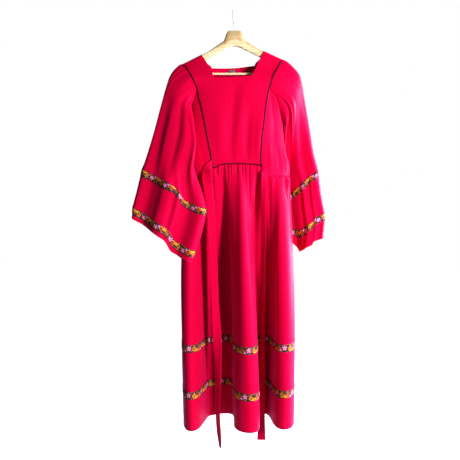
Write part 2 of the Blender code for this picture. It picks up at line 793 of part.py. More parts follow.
def tie(name, table, root_up, root_lean):
    """A sash: a strip hanging from its seam, turning as it falls. Its root runs along the seam."""
    strip = Panel(name)
    line = np.array([row[:3] for row in table])
    rows = []
    for k, (x, y, z, half, turned) in enumerate(table):
        a = math.radians(turned)
        across = np.array([math.cos(a), math.sin(a), 0.0])
        if k == 0:
            across = np.array([root_lean, 0.0, root_up])
        rows.append([line[k] + across * half * s for s in (-1.0, 0.0, 1.0)])
    strip.grid(rows[::-1])
    weld([strip])
    return thicken(strip, RED, CLOTH, 0.6, 0.0)


tie("tie_left", TIE_LEFT, -1.0, 0.128)
tie("tie_right", TIE_RIGHT, 1.0, 0.0)


def box(name, low, high, colour, rough):
    xs, ys, zs = zip(low, high)
    points = [(x, y, z) for x in xs for y in ys for z in zs]
    faces = [[0, 1, 3, 2], [4, 6, 7, 5], [0, 4, 5, 1], [2, 3, 7, 6], [0, 2, 6, 4], [1, 5, 7, 3]]
    return solid(name, points, faces, colour, rough)


LABEL_Y = BACK_STRAP[0][8] + 0.004 - CLOTH / 2 - GAP
box("neck_label", (-0.020, LABEL_Y - 0.0011, -0.224), (0.002, LABEL_Y - 0.0001, -0.210), DARK, 0.7)


def arm_section(x, top, high, half):
    """Points round the arm where it is cut across."""
    out = []
    edge = min(0.006, high * 0.3)
    for y, z in (
        (-half * 0.2, top),
        (half * 0.2, top),
        (half * 0.75, top - edge * 0.4),
        (half, top - edge * 1.1),
        (half, top - high + edge * 0.6),
        (half * 0.6, top - high),
        (-half * 0.6, top - high),
        (-half, top - high + edge * 0.6),
        (-half, top - edge * 1.1),
        (-half * 0.75, top - edge * 0.4),
    ):
        out.append((x, y, z))
    return out


arm_points = []
sections = [(-d, left, high, half) for d, left, right, high, half in ARMS]
sections += [(d, right, high, half) for d, left, right, high, half in ARMS[-2::-1]]
for x, z_top, high, half in sections:
    arm_points += arm_section(x, z_top, high, half)
arm_faces = []
for k in range(len(sections) - 1):
    for s in range(10):
        t = (s + 1) % 10
        arm_faces.append([k * 10 + s, k * 10 + t, (k + 1) * 10 + t, (k + 1) * 10 + s])
arm_faces.append(list(range(10))[::-1])
arm_faces.append([(len(sections) - 1) * 10 + s for s in range(10)])
solid("hanger_arms", arm_points, arm_faces, WOOD, 0.45)

bar_line = [(-BAR_HALF, 0.0, BAR_Z), (0.0, 0.0, BAR_Z), (BAR_HALF, 0.0, BAR_Z)]
tube("hanger_bar", bar_line, BAR_R, 14, WOOD, 0.45)

# The hook stands edge-on to the front: a stem, then a round bend that comes over to the front.
hook_line = [(0.0, 0.0, HOOK_FOOT_Z), (-0.0012, 0.0, HOOK_FOOT_Z + 0.014)]
bend_z = -HOOK_BEND_R + HOOK_WIRE_R
for k in range(17):
    a = math.radians(-62 + 17.5 * k)
    hook_y = HOOK_BEND_R * math.cos(a)
    hook_z = bend_z + HOOK_BEND_R * math.sin(a)
    lean = -HANG_SHIFT * (hook_z - HOOK_FOOT_Z) / (-HOOK_FOOT_Z)
    hook_line.append((lean, hook_y, hook_z))
tube("hanger_hook", hook_line, HOOK_WIRE_R, 10, (0.62, 0.62, 0.62), 0.3, 1.0)
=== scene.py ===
# The looks of a crimson maxi dress on a wooden hanger: cloth, ribbons, piping, sashes and wood.
# Metres, Z up, the front faces -Y. The origin is the place inside the crown of the hanger's hook.
# Left and right are those of someone who looks at the front.
import math
import random

import bmesh
import bpy
import numpy as np
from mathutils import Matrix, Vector, noise


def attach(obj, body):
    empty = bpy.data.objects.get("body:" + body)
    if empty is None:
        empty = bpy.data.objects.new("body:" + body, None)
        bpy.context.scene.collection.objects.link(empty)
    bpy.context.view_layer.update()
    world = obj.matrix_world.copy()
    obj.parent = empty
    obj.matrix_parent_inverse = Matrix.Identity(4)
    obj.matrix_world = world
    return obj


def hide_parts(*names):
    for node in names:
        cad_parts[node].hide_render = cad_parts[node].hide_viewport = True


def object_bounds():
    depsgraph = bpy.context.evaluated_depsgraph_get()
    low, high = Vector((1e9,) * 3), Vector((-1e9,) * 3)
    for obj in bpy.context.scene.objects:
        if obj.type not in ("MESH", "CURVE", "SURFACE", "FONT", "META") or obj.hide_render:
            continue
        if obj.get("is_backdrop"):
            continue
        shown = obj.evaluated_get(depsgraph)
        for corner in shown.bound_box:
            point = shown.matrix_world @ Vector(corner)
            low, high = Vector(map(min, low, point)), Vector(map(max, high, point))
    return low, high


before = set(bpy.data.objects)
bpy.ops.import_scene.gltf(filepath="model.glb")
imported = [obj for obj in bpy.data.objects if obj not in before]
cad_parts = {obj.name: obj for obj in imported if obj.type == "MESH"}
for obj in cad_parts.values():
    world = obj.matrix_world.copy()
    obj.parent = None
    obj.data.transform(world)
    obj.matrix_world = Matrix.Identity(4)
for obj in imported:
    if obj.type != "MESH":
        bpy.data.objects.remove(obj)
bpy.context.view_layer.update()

# Sizes of the cloth.
SHELL = 0.0009
RIBBON = 0.0007
SASH = 0.0012
LABEL_THICK = 0.0008
SEAM_DIP = 0.0010
SEAM_WIDE = 0.0045
HEM_Z = -1.488
WAIST_Z = -0.5624
SIDE_WAIST_Z = -0.605
HANG_SHIFT = 0.0065
HUNG = np.array([HANG_SHIFT, 0.0, 0.0])
BAND_HIGH = 0.026
BAND_LOWER_Z = -1.366
BAND_UPPER_Z = -1.205
HEM_STITCH = 0.022
STITCH_DIP = 0.0008
PIPING_R = 0.0019

# Columns of the coarse panels, whose gathers the fine cloth keeps, and the fine columns to each.
SIDE_COLS = 8
CENTRE_COLS = 24
BACK_COLS = 34
FINE = 6

# The hem seen from above, from the left side seam across the front to the right side seam.
# Columns: x, y.
HEM_SIDE_LEFT = [
    (-0.182, 0.015),
    (-0.183, -0.025),
    (-0.178, -0.065),
    (-0.168, -0.095),
    (-0.150, -0.107),
    (-0.132, -0.096),
    (-0.118, -0.062),
    (-0.106, -0.015),
    (-0.094, 0.020),
]
HEM_CENTRE = [
    (-0.074, 0.032),
    (-0.050, 0.042),
    (-0.022, 0.044),
    (-0.006, 0.030),
    (-0.002, -0.020),
    (0.000, -0.072),
    (0.016, -0.104),
    (0.046, -0.120),
    (0.076, -0.112),
    (0.089, -0.076),
    (0.080, -0.030),
    (0.077, 0.008),
    (0.086, 0.034),
]
HEM_SIDE_RIGHT = [
    (0.104, 0.043),
    (0.121, 0.034),
    (0.131, 0.000),
    (0.139, -0.045),
    (0.151, -0.079),
    (0.172, -0.093),
    (0.195, -0.082),
    (0.209, -0.054),
    (0.214, -0.018),
]
HEM_BACK = [
    (0.212, 0.020),
    (0.204, 0.064),
    (0.180, 0.106),
    (0.142, 0.126),
    (0.106, 0.119),
    (0.080, 0.092),
    (0.058, 0.068),
    (0.034, 0.068),
    (0.014, 0.090),
    (-0.008, 0.118),
    (-0.038, 0.134),
    (-0.070, 0.127),
    (-0.096, 0.100),
    (-0.118, 0.076),
    (-0.142, 0.072),
    (-0.164, 0.060),
    (-0.178, 0.040),
]

# Sections of the body from the waist up.
# Columns: z, left side x, left curved seam x, right curved seam x, right side x, front depth,
# back depth, and how far short of the side fold the armhole cuts the section.
BODY = [
    (SIDE_WAIST_Z, -0.188, -0.0745, 0.0945, 0.201, 0.062, 0.056, 0.0),
    (WAIST_Z, -0.187, -0.0765, 0.0940, 0.199, 0.060, 0.054, 0.0),
    (-0.520, -0.180, -0.0850, 0.0950, 0.187, 0.057, 0.052, 0.0),
    (-0.465, -0.172, -0.0960, 0.0985, 0.177, 0.056, 0.050, 0.0),
    (-0.410, -0.166, -0.1065, 0.1055, 0.171, 0.055, 0.049, 0.0),
    (-0.356, -0.155, -0.1180, 0.1118, 0.161, 0.052, 0.046, 0.010),
    (-0.320, -0.144, -0.1270, 0.1180, 0.149, 0.049, 0.043, 0.022),
    (-0.2887, -0.1330, -0.1330, 0.1240, 0.1240, 0.046, 0.040, 0.045),
]

# The front above that, level by level up to the seam on top of the shoulder.
# Columns: armhole x, armhole z, neck edge x, neck edge z, depth, for the left and the right.
STRAP_LEFT = [
    (-0.1500, -0.2515, -0.0720, -0.2480, 0.040),
    (-0.1610, -0.2320, -0.0860, -0.2200, 0.030),
    (-0.1735, -0.2120, -0.1025, -0.1890, 0.019),
    (-0.1850, -0.2010, -0.1170, -0.1665, 0.0105),
    (-0.1866, -0.1950, -0.1190, -0.1612, 0.0062),
    (-0.1870, -0.1930, -0.1195, -0.1594, 0.0),
]
STRAP_RIGHT = [
    (0.1365, -0.2490, 0.0640, -0.2410, 0.040),
    (0.1470, -0.2270, 0.0770, -0.2110, 0.030),
    (0.1600, -0.2030, 0.0920, -0.1780, 0.019),
    (0.1720, -0.1850, 0.1045, -0.1535, 0.0105),
    (0.1736, -0.1793, 0.1065, -0.1484, 0.0062),
    (0.1740, -0.1775, 0.1070, -0.1466, 0.0),
]

# The back above the underarm. Columns: left armhole x, z, right armhole x, z, depth.
BACK = [
    (-0.1540, -0.356, 0.1600, -0.356, 0.046),
    (-0.1500, -0.320, 0.1520, -0.320, 0.043),
    (-0.1490, -0.2887, 0.1460, -0.2887, 0.040),
    (-0.1530, -0.2515, 0.1440, -0.2490, 0.034),
]
# Columns: left armhole x, z, left neck x, z, right neck x, z, right armhole x, z, depth.
BACK_STRAP = [
    (-0.1630, -0.2300, -0.0840, -0.2045, 0.0740, -0.1950, 0.1500, -0.2260, 0.026),
    (-0.1740, -0.2120, -0.1030, -0.1860, 0.0910, -0.1740, 0.1600, -0.2030, 0.018),
    (-0.1850, -0.2010, -0.1170, -0.1665, 0.1045, -0.1535, 0.1720, -0.1850, 0.0105),
    (-0.1866, -0.1950, -0.1190, -0.1612, 0.1065, -0.1484, 0.1736, -0.1793, 0.0062),
    (-0.1870, -0.1930, -0.1195, -0.1594, 0.1070, -0.1466, 0.1740, -0.1775, 0.0),
]
NECK_FIRST = 8
NECK_LAST = 16
BACK_NECK_FIRST = 8
BACK_NECK_LAST = 26

# Sleeves: outer fold and inner fold of the flattened tube, with its front and back bulge.
# Columns: outer x, y, z, inner x, y, z, front bulge, back bulge, front drop.
SLEEVE_LEFT = [
    (-0.2350, 0.000, -0.2340, -0.1790, -0.004, -0.4340, 0.044, 0.038, 0.0),
    (-0.2490, -0.010, -0.2860, -0.1730, -0.022, -0.4660, 0.040, 0.030, 0.0),
    (-0.2630, -0.022, -0.3450, -0.1650, -0.043, -0.5080, 0.036, 0.025, 0.0),
    (-0.2890, -0.040, -0.4520, -0.1420, -0.078, -0.5850, 0.031, 0.020, 0.0),
    (-0.3140, -0.054, -0.5400, -0.1120, -0.102, -0.6600, 0.029, 0.016, 0.0),
    (-0.3260, -0.060, -0.5750, -0.0990, -0.112, -0.7120, 0.029, 0.015, 0.0),
    (-0.3320, -0.062, -0.6000, -0.0990, -0.113, -0.7370, 0.029, 0.015, 0.0),
    (-0.3460, -0.068, -0.6620, -0.1140, -0.116, -0.8020, 0.030, 0.016, 0.0),
    (-0.3570, -0.073, -0.7070, -0.1320, -0.118, -0.8560, 0.031, 0.016, 0.0),
    (-0.3590, -0.074, -0.7320, -0.1400, -0.118, -0.8800, 0.031, 0.016, 0.0),
    (-0.3605, -0.075, -0.7470, -0.1470, -0.118, -0.8960, 0.031, 0.016, 0.0),
]
SLEEVE_RIGHT = [
    (0.2370, 0.000, -0.2300, 0.1850, 0.004, -0.4340, 0.038, 0.040, 0.0),
    (0.2500, 0.010, -0.2760, 0.1820, 0.020, -0.4660, 0.032, 0.038, 0.0),
    (0.2620, 0.018, -0.3430, 0.1840, 0.038, -0.5080, 0.028, 0.038, 0.0),
    (0.2780, 0.028, -0.4300, 0.1850, 0.074, -0.5850, 0.026, 0.038, 0.0),
    (0.2920, 0.033, -0.5150, 0.1880, 0.098, -0.6500, 0.026, 0.038, 0.004),
    (0.3100, 0.037, -0.5830, 0.1900, 0.110, -0.6900, 0.027, 0.040, 0.008),
    (0.3130, 0.038, -0.6090, 0.1910, 0.112, -0.7150, 0.027, 0.040, 0.010),
    (0.3230, 0.042, -0.6800, 0.1940, 0.118, -0.7560, 0.028, 0.042, 0.022),
    (0.3350, 0.046, -0.7420, 0.2000, 0.124, -0.7900, 0.030, 0.044, 0.038),
    (0.3360, 0.047, -0.7680, 0.2030, 0.125, -0.8120, 0.030, 0.044, 0.044),
    (0.3290, 0.047, -0.8380, 0.2060, 0.126, -0.8240, 0.030, 0.044, 0.058),
]
SLEEVE_BANDS = (("upper", 5, 6), ("lower", 8, 9))
SLEEVE_TURNS = 144
STATION_STEPS = 9
CAP_GATHERS = 20
CAP_RINGS = 8
# How far the cap's first ring stands out from the armhole and drops, at the underarm and on top,
# and how far in front and behind; the share of that at which the seam itself lies; how deep and
# how long, in stations, the gathers of the cap are.
CAP_OUT = 0.013
CAP_OUT_TOP = 0.003
CAP_DROP = 0.012
CAP_DROP_TOP = 0.0045
CAP_STANDS = 0.003
SEAM_SHARE = 0.03
CAP_GATHER = 0.0022
TUBE_GATHER = 0.0030
CAP_SHORTEST = 0.9
CAP_LONGEST = 2.4
# How often the rings of the cap are evened out, from which ring, between which stations this
# fades, and how much of it is left at the folds.
CAP_ROUNDING = 60
ROUND_FROM = 6.0
ROUND_WHOLE = 1.0
ROUND_GONE = 2.2
ROUND_FOLD = 0.12

# Soft folds down the sleeves: where round the tube (0 inner, 0.25 front, 0.5 outer), how deep at
# the hem, how wide.
SLEEVE_FOLDS_LEFT = [
    (0.06, 0.012, 0.035),
    (0.17, -0.016, 0.035),
    (0.25, 0.012, 0.040),
    (0.35, -0.012, 0.035),
    (0.43, 0.008, 0.030),
    (0.66, 0.012, 0.040),
    (0.84, -0.010, 0.045),
]
SLEEVE_FOLDS_RIGHT = [
    (0.10, 0.012, 0.040),
    (0.20, -0.014, 0.035),
    (0.30, 0.012, 0.040),
    (0.41, -0.010, 0.035),
    (0.64, -0.010, 0.040),
    (0.80, 0.012, 0.045),
]

# The upper sleeve's slack hangs past the armhole: the left one in front of the body's side, the
# right one behind it. Where round the tube, how wide, how far in x and y, and the stations
# between which it fades.
SLEEVE_LAP_LEFT = (0.17, 0.11, 0.052, -0.026, 2.0, 4.0)
SLEEVE_LAP_RIGHT = (0.85, 0.10, -0.045, 0.025, 1.5, 3.5)
# A fold laid over down the sleeve: where round the tube, how far the cloth beside it slips along
# it, how deep it is, and the stations between which it comes in.
SLEEVE_PLEAT_LEFT = (0.205, 0.016, 0.012, 3.2, 5.0)
SLEEVE_PLEAT_RIGHT = (0.36, 0.004, 0.006, 4.0, 7.0)

# Sashes: middle x, y, z of the strip, half its width, and how far it is turned, in degrees.
TIE_LEFT = [
    (-0.0802, -0.0612, -0.5620, 0.0160, 0.0),
    (-0.0985, -0.0710, -0.5830, 0.0170, -30.0),
    (-0.0985, -0.0760, -0.6060, 0.0172, -12.0),
    (-0.0905, -0.0790, -0.6600, 0.0165, 4.0),
    (-0.0822, -0.0760, -0.7500, 0.0155, 16.0),
    (-0.0768, -0.0690, -0.8600, 0.0155, 26.0),
    (-0.0712, -0.0600, -0.9800, 0.0155, 34.0),
    (-0.0664, -0.0520, -1.1000, 0.0155, 22.0),
    (-0.0615, -0.0470, -1.2000, 0.0160, -12.0),
    (-0.0595, -0.0440, -1.3000, 0.0158, -42.0),
    (-0.0595, -0.0430, -1.4350, 0.0155, -58.0),
    (-0.0555, -0.0430, -1.5170, 0.0140, -56.0),
    (-0.0512, -0.0430, -1.5740, 0.0060, -52.0),
]
TIE_RIGHT = [
    (0.0967, -0.0616, -0.5700, 0.0130, 0.0),
    (0.1040, -0.0690, -0.5960, 0.0100, 20.0),
    (0.1035, -0.0690, -0.6300, 0.0100, 0.0),
    (0.1030, -0.0600, -0.7000, 0.0105, -24.0),
    (0.1030, -0.0420, -0.8000, 0.0110, -44.0),
    (0.1035, -0.0200, -0.9400, 0.0115, -56.0),
    (0.1035, -0.0020, -1.1000, 0.0120, -56.0),
    (0.1030, 0.0080, -1.2500, 0.0125, -50.0),
    (0.1015, 0.0120, -1.3900, 0.0125, -36.0),
    (0.0995, 0.0120, -1.4850, 0.0125, -16.0),
    (0.0985, 0.0110, -1.5710, 0.0155, 0.0),
]

# Hanger arms. Columns: distance from the middle, top z at the left, top z at the right, height,
# half the thickness.
ARMS = [
    (0.2150, -0.2150, -0.2100, 0.016, 0.0040),
    (0.2080, -0.2085, -0.2020, 0.032, 0.0060),
    (0.1900, -0.1968, -0.1875, 0.046, 0.0065),
    (0.1636, -0.1833, -0.1748, 0.058, 0.0065),
    (0.1630, -0.1830, -0.1745, 0.026, 0.0065),
    (0.1400, -0.1717, -0.1642, 0.027, 0.0065),
    (0.1100, -0.1570, -0.1500, 0.028, 0.0065),
    (0.0860, -0.1425, -0.1385, 0.028, 0.0068),
    (0.0580, -0.1225, -0.1200, 0.032, 0.0072),
    (0.0440, -0.1130, -0.1115, 0.034, 0.0078),
    (0.0370, -0.1050, -0.1035, 0.038, 0.0084),
    (0.0310, -0.0870, -0.0880, 0.052, 0.0090),
    (0.0235, -0.0745, -0.0745, 0.061, 0.0090),
    (0.0, -0.0730, -0.0730, 0.056, 0.0090),
]
BAR_Z = -0.2300
BAR_R = 0.0040
BAR_HALF = 0.1630
HOOK_WIRE_R = 0.00175
HOOK_BEND_R = 0.0205
HOOK_FOOT_Z = -0.0726
FACE_TOP_Z = -0.1035
FACE_SLOPE = 0.49


def unit(v):
    """The same way with a length of 1."""
    size = np.linalg.norm(v)
    return v / size if size > 1e-12 else v


# Lines and grids of points

# How soft a crease is at its ends and how far it runs on past them, how much longer than wide the
# ripples of hanging cloth are, and by how many rows and columns a crease keeps off a seam.
CREASE_ENDS = 0.06
CREASE_FADE = 0.8
CREASE_PAST = 1.5
RIPPLE_LONG = 3.2
BORDER_ROWS = 4
BORDER_COLS = 5


def bent(p0, p1, p2, p3, t):
    """The place at t between the second and the third of four points of a soft line."""
    bend = (2 * p0 - 5 * p1 + 4 * p2 - p3) * t * t
    return 0.5 * (2 * p1 + (p2 - p0) * t + bend + (3 * p1 - p0 - 3 * p2 + p3) * t**3)


def eased_in(t):
    """A share that starts and ends softly."""
    return t * t * (3 - 2 * t)


def smooth_line(points, per, closed=False):
    """A soft line through the points, with some points between each pair."""
    pts = [np.array(p, float) for p in points]
    n = len(pts)
    out = []
    for k in range(n if closed else n - 1):
        if closed:
            p0, p1, p2, p3 = (pts[(k + d) % n] for d in (-1, 0, 1, 2))
        else:
            p1, p2 = pts[k], pts[k + 1]
            p0 = pts[k - 1] if k else 2 * p1 - p2
            p3 = pts[k + 2] if k + 2 < n else 2 * p2 - p1
        out += [bent(p0, p1, p2, p3, s / per) for s in range(per)]
    if not closed:
        out.append(pts[-1])
    return np.array(out)


def even(line, count):
    """The line again with count steps of the same length."""
    line = np.array(line, float)
    far = np.concatenate([[0], np.cumsum(np.linalg.norm(np.diff(line, axis=0), axis=1))])
    at = np.linspace(0, far[-1], count + 1)
    return np.stack([np.interp(at, far, line[:, c]) for c in range(line.shape[1])], axis=1)


def column_lengths(grid):
    """How far up its column each point of a grid lies, in metres, in the mean of all columns."""
    steps = np.linalg.norm(np.diff(grid, axis=0), axis=2).mean(axis=1)
    return np.concatenate([[0], np.cumsum(steps)])


def row_lengths(grid):
    """How far along its row each point of a grid lies, in metres, by the widest of all rows."""
    steps = np.linalg.norm(np.diff(grid, axis=1), axis=2).max(axis=0)
    return np.concatenate([[0], np.cumsum(steps)])


def grid_normals(grid, closed=False):
    """Unit normals of a grid; rows run upward and columns to the right, seen from outside."""
    if closed:
        wide = np.concatenate([grid[:, -2:-1], grid, grid[:, 1:2]], axis=1)
        along = wide[:, 2:] - wide[:, :-2]
    else:
        along = np.gradient(grid, axis=1)
    up = np.gradient(grid, axis=0)
    normal = np.cross(along, up)
    size = np.linalg.norm(normal, axis=2, keepdims=True)
    return normal / np.maximum(size, 1e-12)


def bump(distance, wide):
    """A soft bump, 1 at its middle."""
    return np.exp(-((distance / wide) ** 2))


def creased(grid, creases, closed=False):
    """The grid with soft troughs and ridges laid on it.

    Columns of a crease: across and up where it starts, across and up where it ends (all 0 to 1),
    width and height in metres; a trough has a height below zero.
    """
    normals = grid_normals(grid, closed)
    across = row_lengths(grid)
    up = column_lengths(grid)
    u = np.tile(across, (len(up), 1))
    v = np.tile(up[:, None], (1, len(across)))
    lift = np.zeros(u.shape)
    for a0, b0, a1, b1, wide, high in creases:
        start = np.array([a0 * across[-1], b0 * up[-1]])
        way = np.array([a1 * across[-1], b1 * up[-1]]) - start
        size = np.linalg.norm(way)
        way = way / size
        along = (u - start[0]) * way[0] + (v - start[1]) * way[1]
        aside = (u - start[0]) * -way[1] + (v - start[1]) * way[0]
        t = np.clip(along / size, 0, 1)
        beyond = along - t * size
        inside = CREASE_ENDS + (1 - 2 * CREASE_ENDS) * t
        fade = np.sin(np.pi * np.clip(inside, 0, 1)) ** CREASE_FADE
        lift += high * fade * bump(aside, wide) * bump(beyond, wide * CREASE_PAST)
    return grid + normals * lift[:, :, None]


def rippled(grid, high, size, seed, closed=False):
    """The grid with the faint unevenness of hanging cloth: long up and down, short across."""
    normals = grid_normals(grid, closed)
    out = grid.copy()
    for r in range(grid.shape[0]):
        for c in range(grid.shape[1]):
            p = grid[r, c]
            where = Vector((p[0] / size, p[1] / size, p[2] / (size * RIPPLE_LONG) + seed))
            out[r, c] = p + normals[r, c] * (high * noise.noise(where))
    if closed:
        out[:, -1] = out[:, 0]
    return out


def seam_dipped(grid, normals, top=False):
    """The grid with its sewn sides drawn in, and its top, so that a seam shows as a soft groove."""
    across = row_lengths(grid)
    up = column_lengths(grid)
    dip = np.zeros(grid.shape[:2])
    dip += bump(across, SEAM_WIDE)[None, :]
    dip += bump(across[-1] - across, SEAM_WIDE)[None, :]
    if top:
        dip += bump(up[-1] - up, SEAM_WIDE)[:, None]
    return grid - normals * (SEAM_DIP * np.minimum(dip, 1.0))[:, :, None]


# Pieces from grids


def laid_grid(work, grid, u, v):
    """One flat grid, made by its operator, then moved through the points, with a map in metres."""
    rows, cols = grid.shape[:2]
    layer = work.loops.layers.uv.verify()
    made = bmesh.ops.create_grid(work, x_segments=cols - 1, y_segments=rows - 1, size=0.5)
    place = {}
    for vert in made["verts"]:
        c = int(round((vert.co.x + 0.5) * (cols - 1)))
        r = int(round((vert.co.y + 0.5) * (rows - 1)))
        place[vert] = (r, c)
    for vert, (r, c) in place.items():
        vert.co = grid[r, c]
    for face in {f for vert in made["verts"] for f in vert.link_faces}:
        face.smooth = True
        for loop in face.loops:
            r, c = place[loop.vert]
            loop[layer].uv = (u[c], v[r])


def finished(work, name, finish):
    """The shape as an object of the scene, with its finish."""
    mesh = bpy.data.meshes.new(name)
    work.to_mesh(mesh)
    work.free()
    piece = bpy.data.objects.new(name, mesh)
    bpy.context.scene.collection.objects.link(piece)
    mesh.materials.append(finish)
    return piece


def dressed(piece, node):
    """The piece rides on the dress's one body, in place of its plain node."""
    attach(piece, "root")
    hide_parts(node)


def flat_map(grid):
    """The grid with its map: across from its widest row, up from the mean of its columns."""
    return grid, row_lengths(grid), column_lengths(grid)


def cloth_piece(name, grids, finish, node, thick=SHELL, merge=0.00001, flip=False):
    """A thin sheet of cloth through one mapped grid of points, or through several joined ones."""
    work = bmesh.new()
    for grid, u, v in grids:
        laid_grid(work, grid + HUNG, u, v)
    bmesh.ops.remove_doubles(work, verts=work.verts, dist=merge)
    if flip:
        bmesh.ops.reverse_faces(work, faces=work.faces)
    piece = finished(work, name, finish)
    solid = piece.modifiers.new("thickness", "SOLIDIFY")
    solid.thickness = thick
    solid.offset = 0.0
    dressed(piece, node)


def closed_piece(name, grid, u, v, sides, finish, node):
    """A solid piece round a grid of closed rows, with its two ends filled."""
    work = bmesh.new()
    laid_grid(work, grid + HUNG, u, v)
    bmesh.ops.remove_doubles(work, verts=work.verts, dist=0.000001)
    ends = [edge for edge in work.edges if edge.is_boundary]
    bmesh.ops.holes_fill(work, edges=ends, sides=sides)
    bmesh.ops.recalc_face_normals(work, faces=work.faces)
    dressed(finished(work, name, finish), node)


# Materials


class Wire:
    """A value in a material's nodes, which sums, products and the like can be written with."""

    def __init__(self, tree, socket):
        self.tree = tree
        self.socket = socket

    def math(self, what, *others):
        node = self.tree.nodes.new("ShaderNodeMath")
        node.operation = what
        for k, value in enumerate((self, *others)):
            if isinstance(value, Wire):
                self.tree.links.new(value.socket, node.inputs[k])
            else:
                node.inputs[k].default_value = value
        return Wire(self.tree, node.outputs[0])

    def __add__(self, other):
        return self.math("ADD", other)

    def __sub__(self, other):
        return self.math("SUBTRACT", other)

    def __mul__(self, other):
        return self.math("MULTIPLY", other)

    def __truediv__(self, other):
        return self.math("DIVIDE", other)

    def soft_below(self, edge, blur):
        """1 where the value is under the edge, 0 above it, with a soft change."""
        node = self.tree.nodes.new("ShaderNodeMapRange")
        node.interpolation_type = "SMOOTHSTEP"
        self.tree.links.new(self.socket, node.inputs["Value"])
        node.inputs["From Min"].default_value = edge - blur
        node.inputs["From Max"].default_value = edge + blur
        node.inputs["To Min"].default_value = 1.0
        node.inputs["To Max"].default_value = 0.0
        return Wire(self.tree, node.outputs["Result"])


class Paint:
    """A material under way: its node tree and shader."""

    def __init__(self, name):
        self.made = bpy.data.materials.new(name)
        self.made.use_nodes = True
        self.tree = self.made.node_tree
        self.shader = self.tree.nodes["Principled BSDF"]
        self.where = self.tree.nodes.new("ShaderNodeTexCoord")

    def set(self, **values):
        for key, value in values.items():
            self.shader.inputs[key.replace("_", " ")].default_value = value

    def placed(self, output, scale):
        """The coordinates of that kind, stretched."""
        node = self.tree.nodes.new("ShaderNodeMapping")
        node.inputs["Scale"].default_value = scale
        self.tree.links.new(self.where.outputs[output], node.inputs["Vector"])
        return node.outputs["Vector"]

    def noise(self, vector, scale, detail=2.0, rough=0.5):
        node = self.tree.nodes.new("ShaderNodeTexNoise")
        node.inputs["Scale"].default_value = scale
        node.inputs["Detail"].default_value = detail
        node.inputs["Roughness"].default_value = rough
        self.tree.links.new(vector, node.inputs["Vector"])
        return Wire(self.tree, node.outputs["Fac"])

    def wave(self, vector, scale, way="X", twist=0.0):
        node = self.tree.nodes.new("ShaderNodeTexWave")
        node.bands_direction = way
        node.inputs["Scale"].default_value = scale
        node.inputs["Distortion"].default_value = twist
        self.tree.links.new(vector, node.inputs["Vector"])
        return Wire(self.tree, node.outputs["Fac"])

    def axes(self, output):
        """The three parts of the coordinates of that kind."""
        node = self.tree.nodes.new("ShaderNodeSeparateXYZ")
        self.tree.links.new(self.where.outputs[output], node.inputs[0])
        return [Wire(self.tree, node.outputs[k]) for k in range(3)]

    def colours(self, wire, stops):
        """A run of colours along a value. Stops: where, colour."""
        node = self.tree.nodes.new("ShaderNodeValToRGB")
        ramp = node.color_ramp
        for k, (where, colour) in enumerate(stops):
            stop = ramp.elements[k] if k < 2 else ramp.elements.new(where)
            stop.position = where
            stop.color = (*colour, 1.0)
        self.tree.links.new(wire.socket, node.inputs["Fac"])
        return node.outputs["Color"]

    def mixed(self, share, low, high):
        """One colour over another by a share."""
        node = self.tree.nodes.new("ShaderNodeMix")
        node.data_type = "RGBA"
        self.tree.links.new(share.socket, node.inputs["Factor"])
        for key, colour in ((6, low), (7, high)):
            if isinstance(colour, tuple):
                node.inputs[key].default_value = (*colour, 1.0)
            else:
                self.tree.links.new(colour, node.inputs[key])
        return node.outputs[2]

    def colour(self, socket):
        self.tree.links.new(socket, self.shader.inputs["Base Color"])

    def rough(self, wire):
        self.tree.links.new(wire.socket, self.shader.inputs["Roughness"])

    def bumpy(self, wire, strength, depth):
        node = self.tree.nodes.new("ShaderNodeBump")
        node.inputs["Strength"].default_value = strength
        node.inputs["Distance"].default_value = depth
        self.tree.links.new(wire.socket, node.inputs["Height"])
        self.tree.links.new(node.outputs["Normal"], self.shader.inputs["Normal"])


def crepe(name, deep, bright, lustre):
    """Softly lustrous crimson crepe, woven fine, with its faint unevenness of dye."""
    paint = Paint(name)
    paint.set(Sheen_Weight=0.34, Sheen_Roughness=0.34, Sheen_Tint=(1.0, 0.10, 0.60, 1.0))
    paint.set(Specular_IOR_Level=lustre, Specular_Tint=(1.0, 0.05, 0.45, 1.0))
    soft = paint.noise(paint.placed("UV", (9.0, 2.4, 1.0)), 1.0, 3.0)
    paint.colour(paint.mixed(soft, deep, bright))
    weave = paint.placed("UV", (1.0, 1.0, 1.0))
    thread = paint.wave(weave, 260.0, "X") + paint.wave(weave, 230.0, "Y")
    grain = paint.noise(paint.placed("UV", (700.0, 420.0, 1.0)), 1.0, 2.0)
    paint.rough(grain * 0.10 + 0.44)
    paint.bumpy(thread * 0.25 + grain, 0.20, 0.0004)
    return paint.made


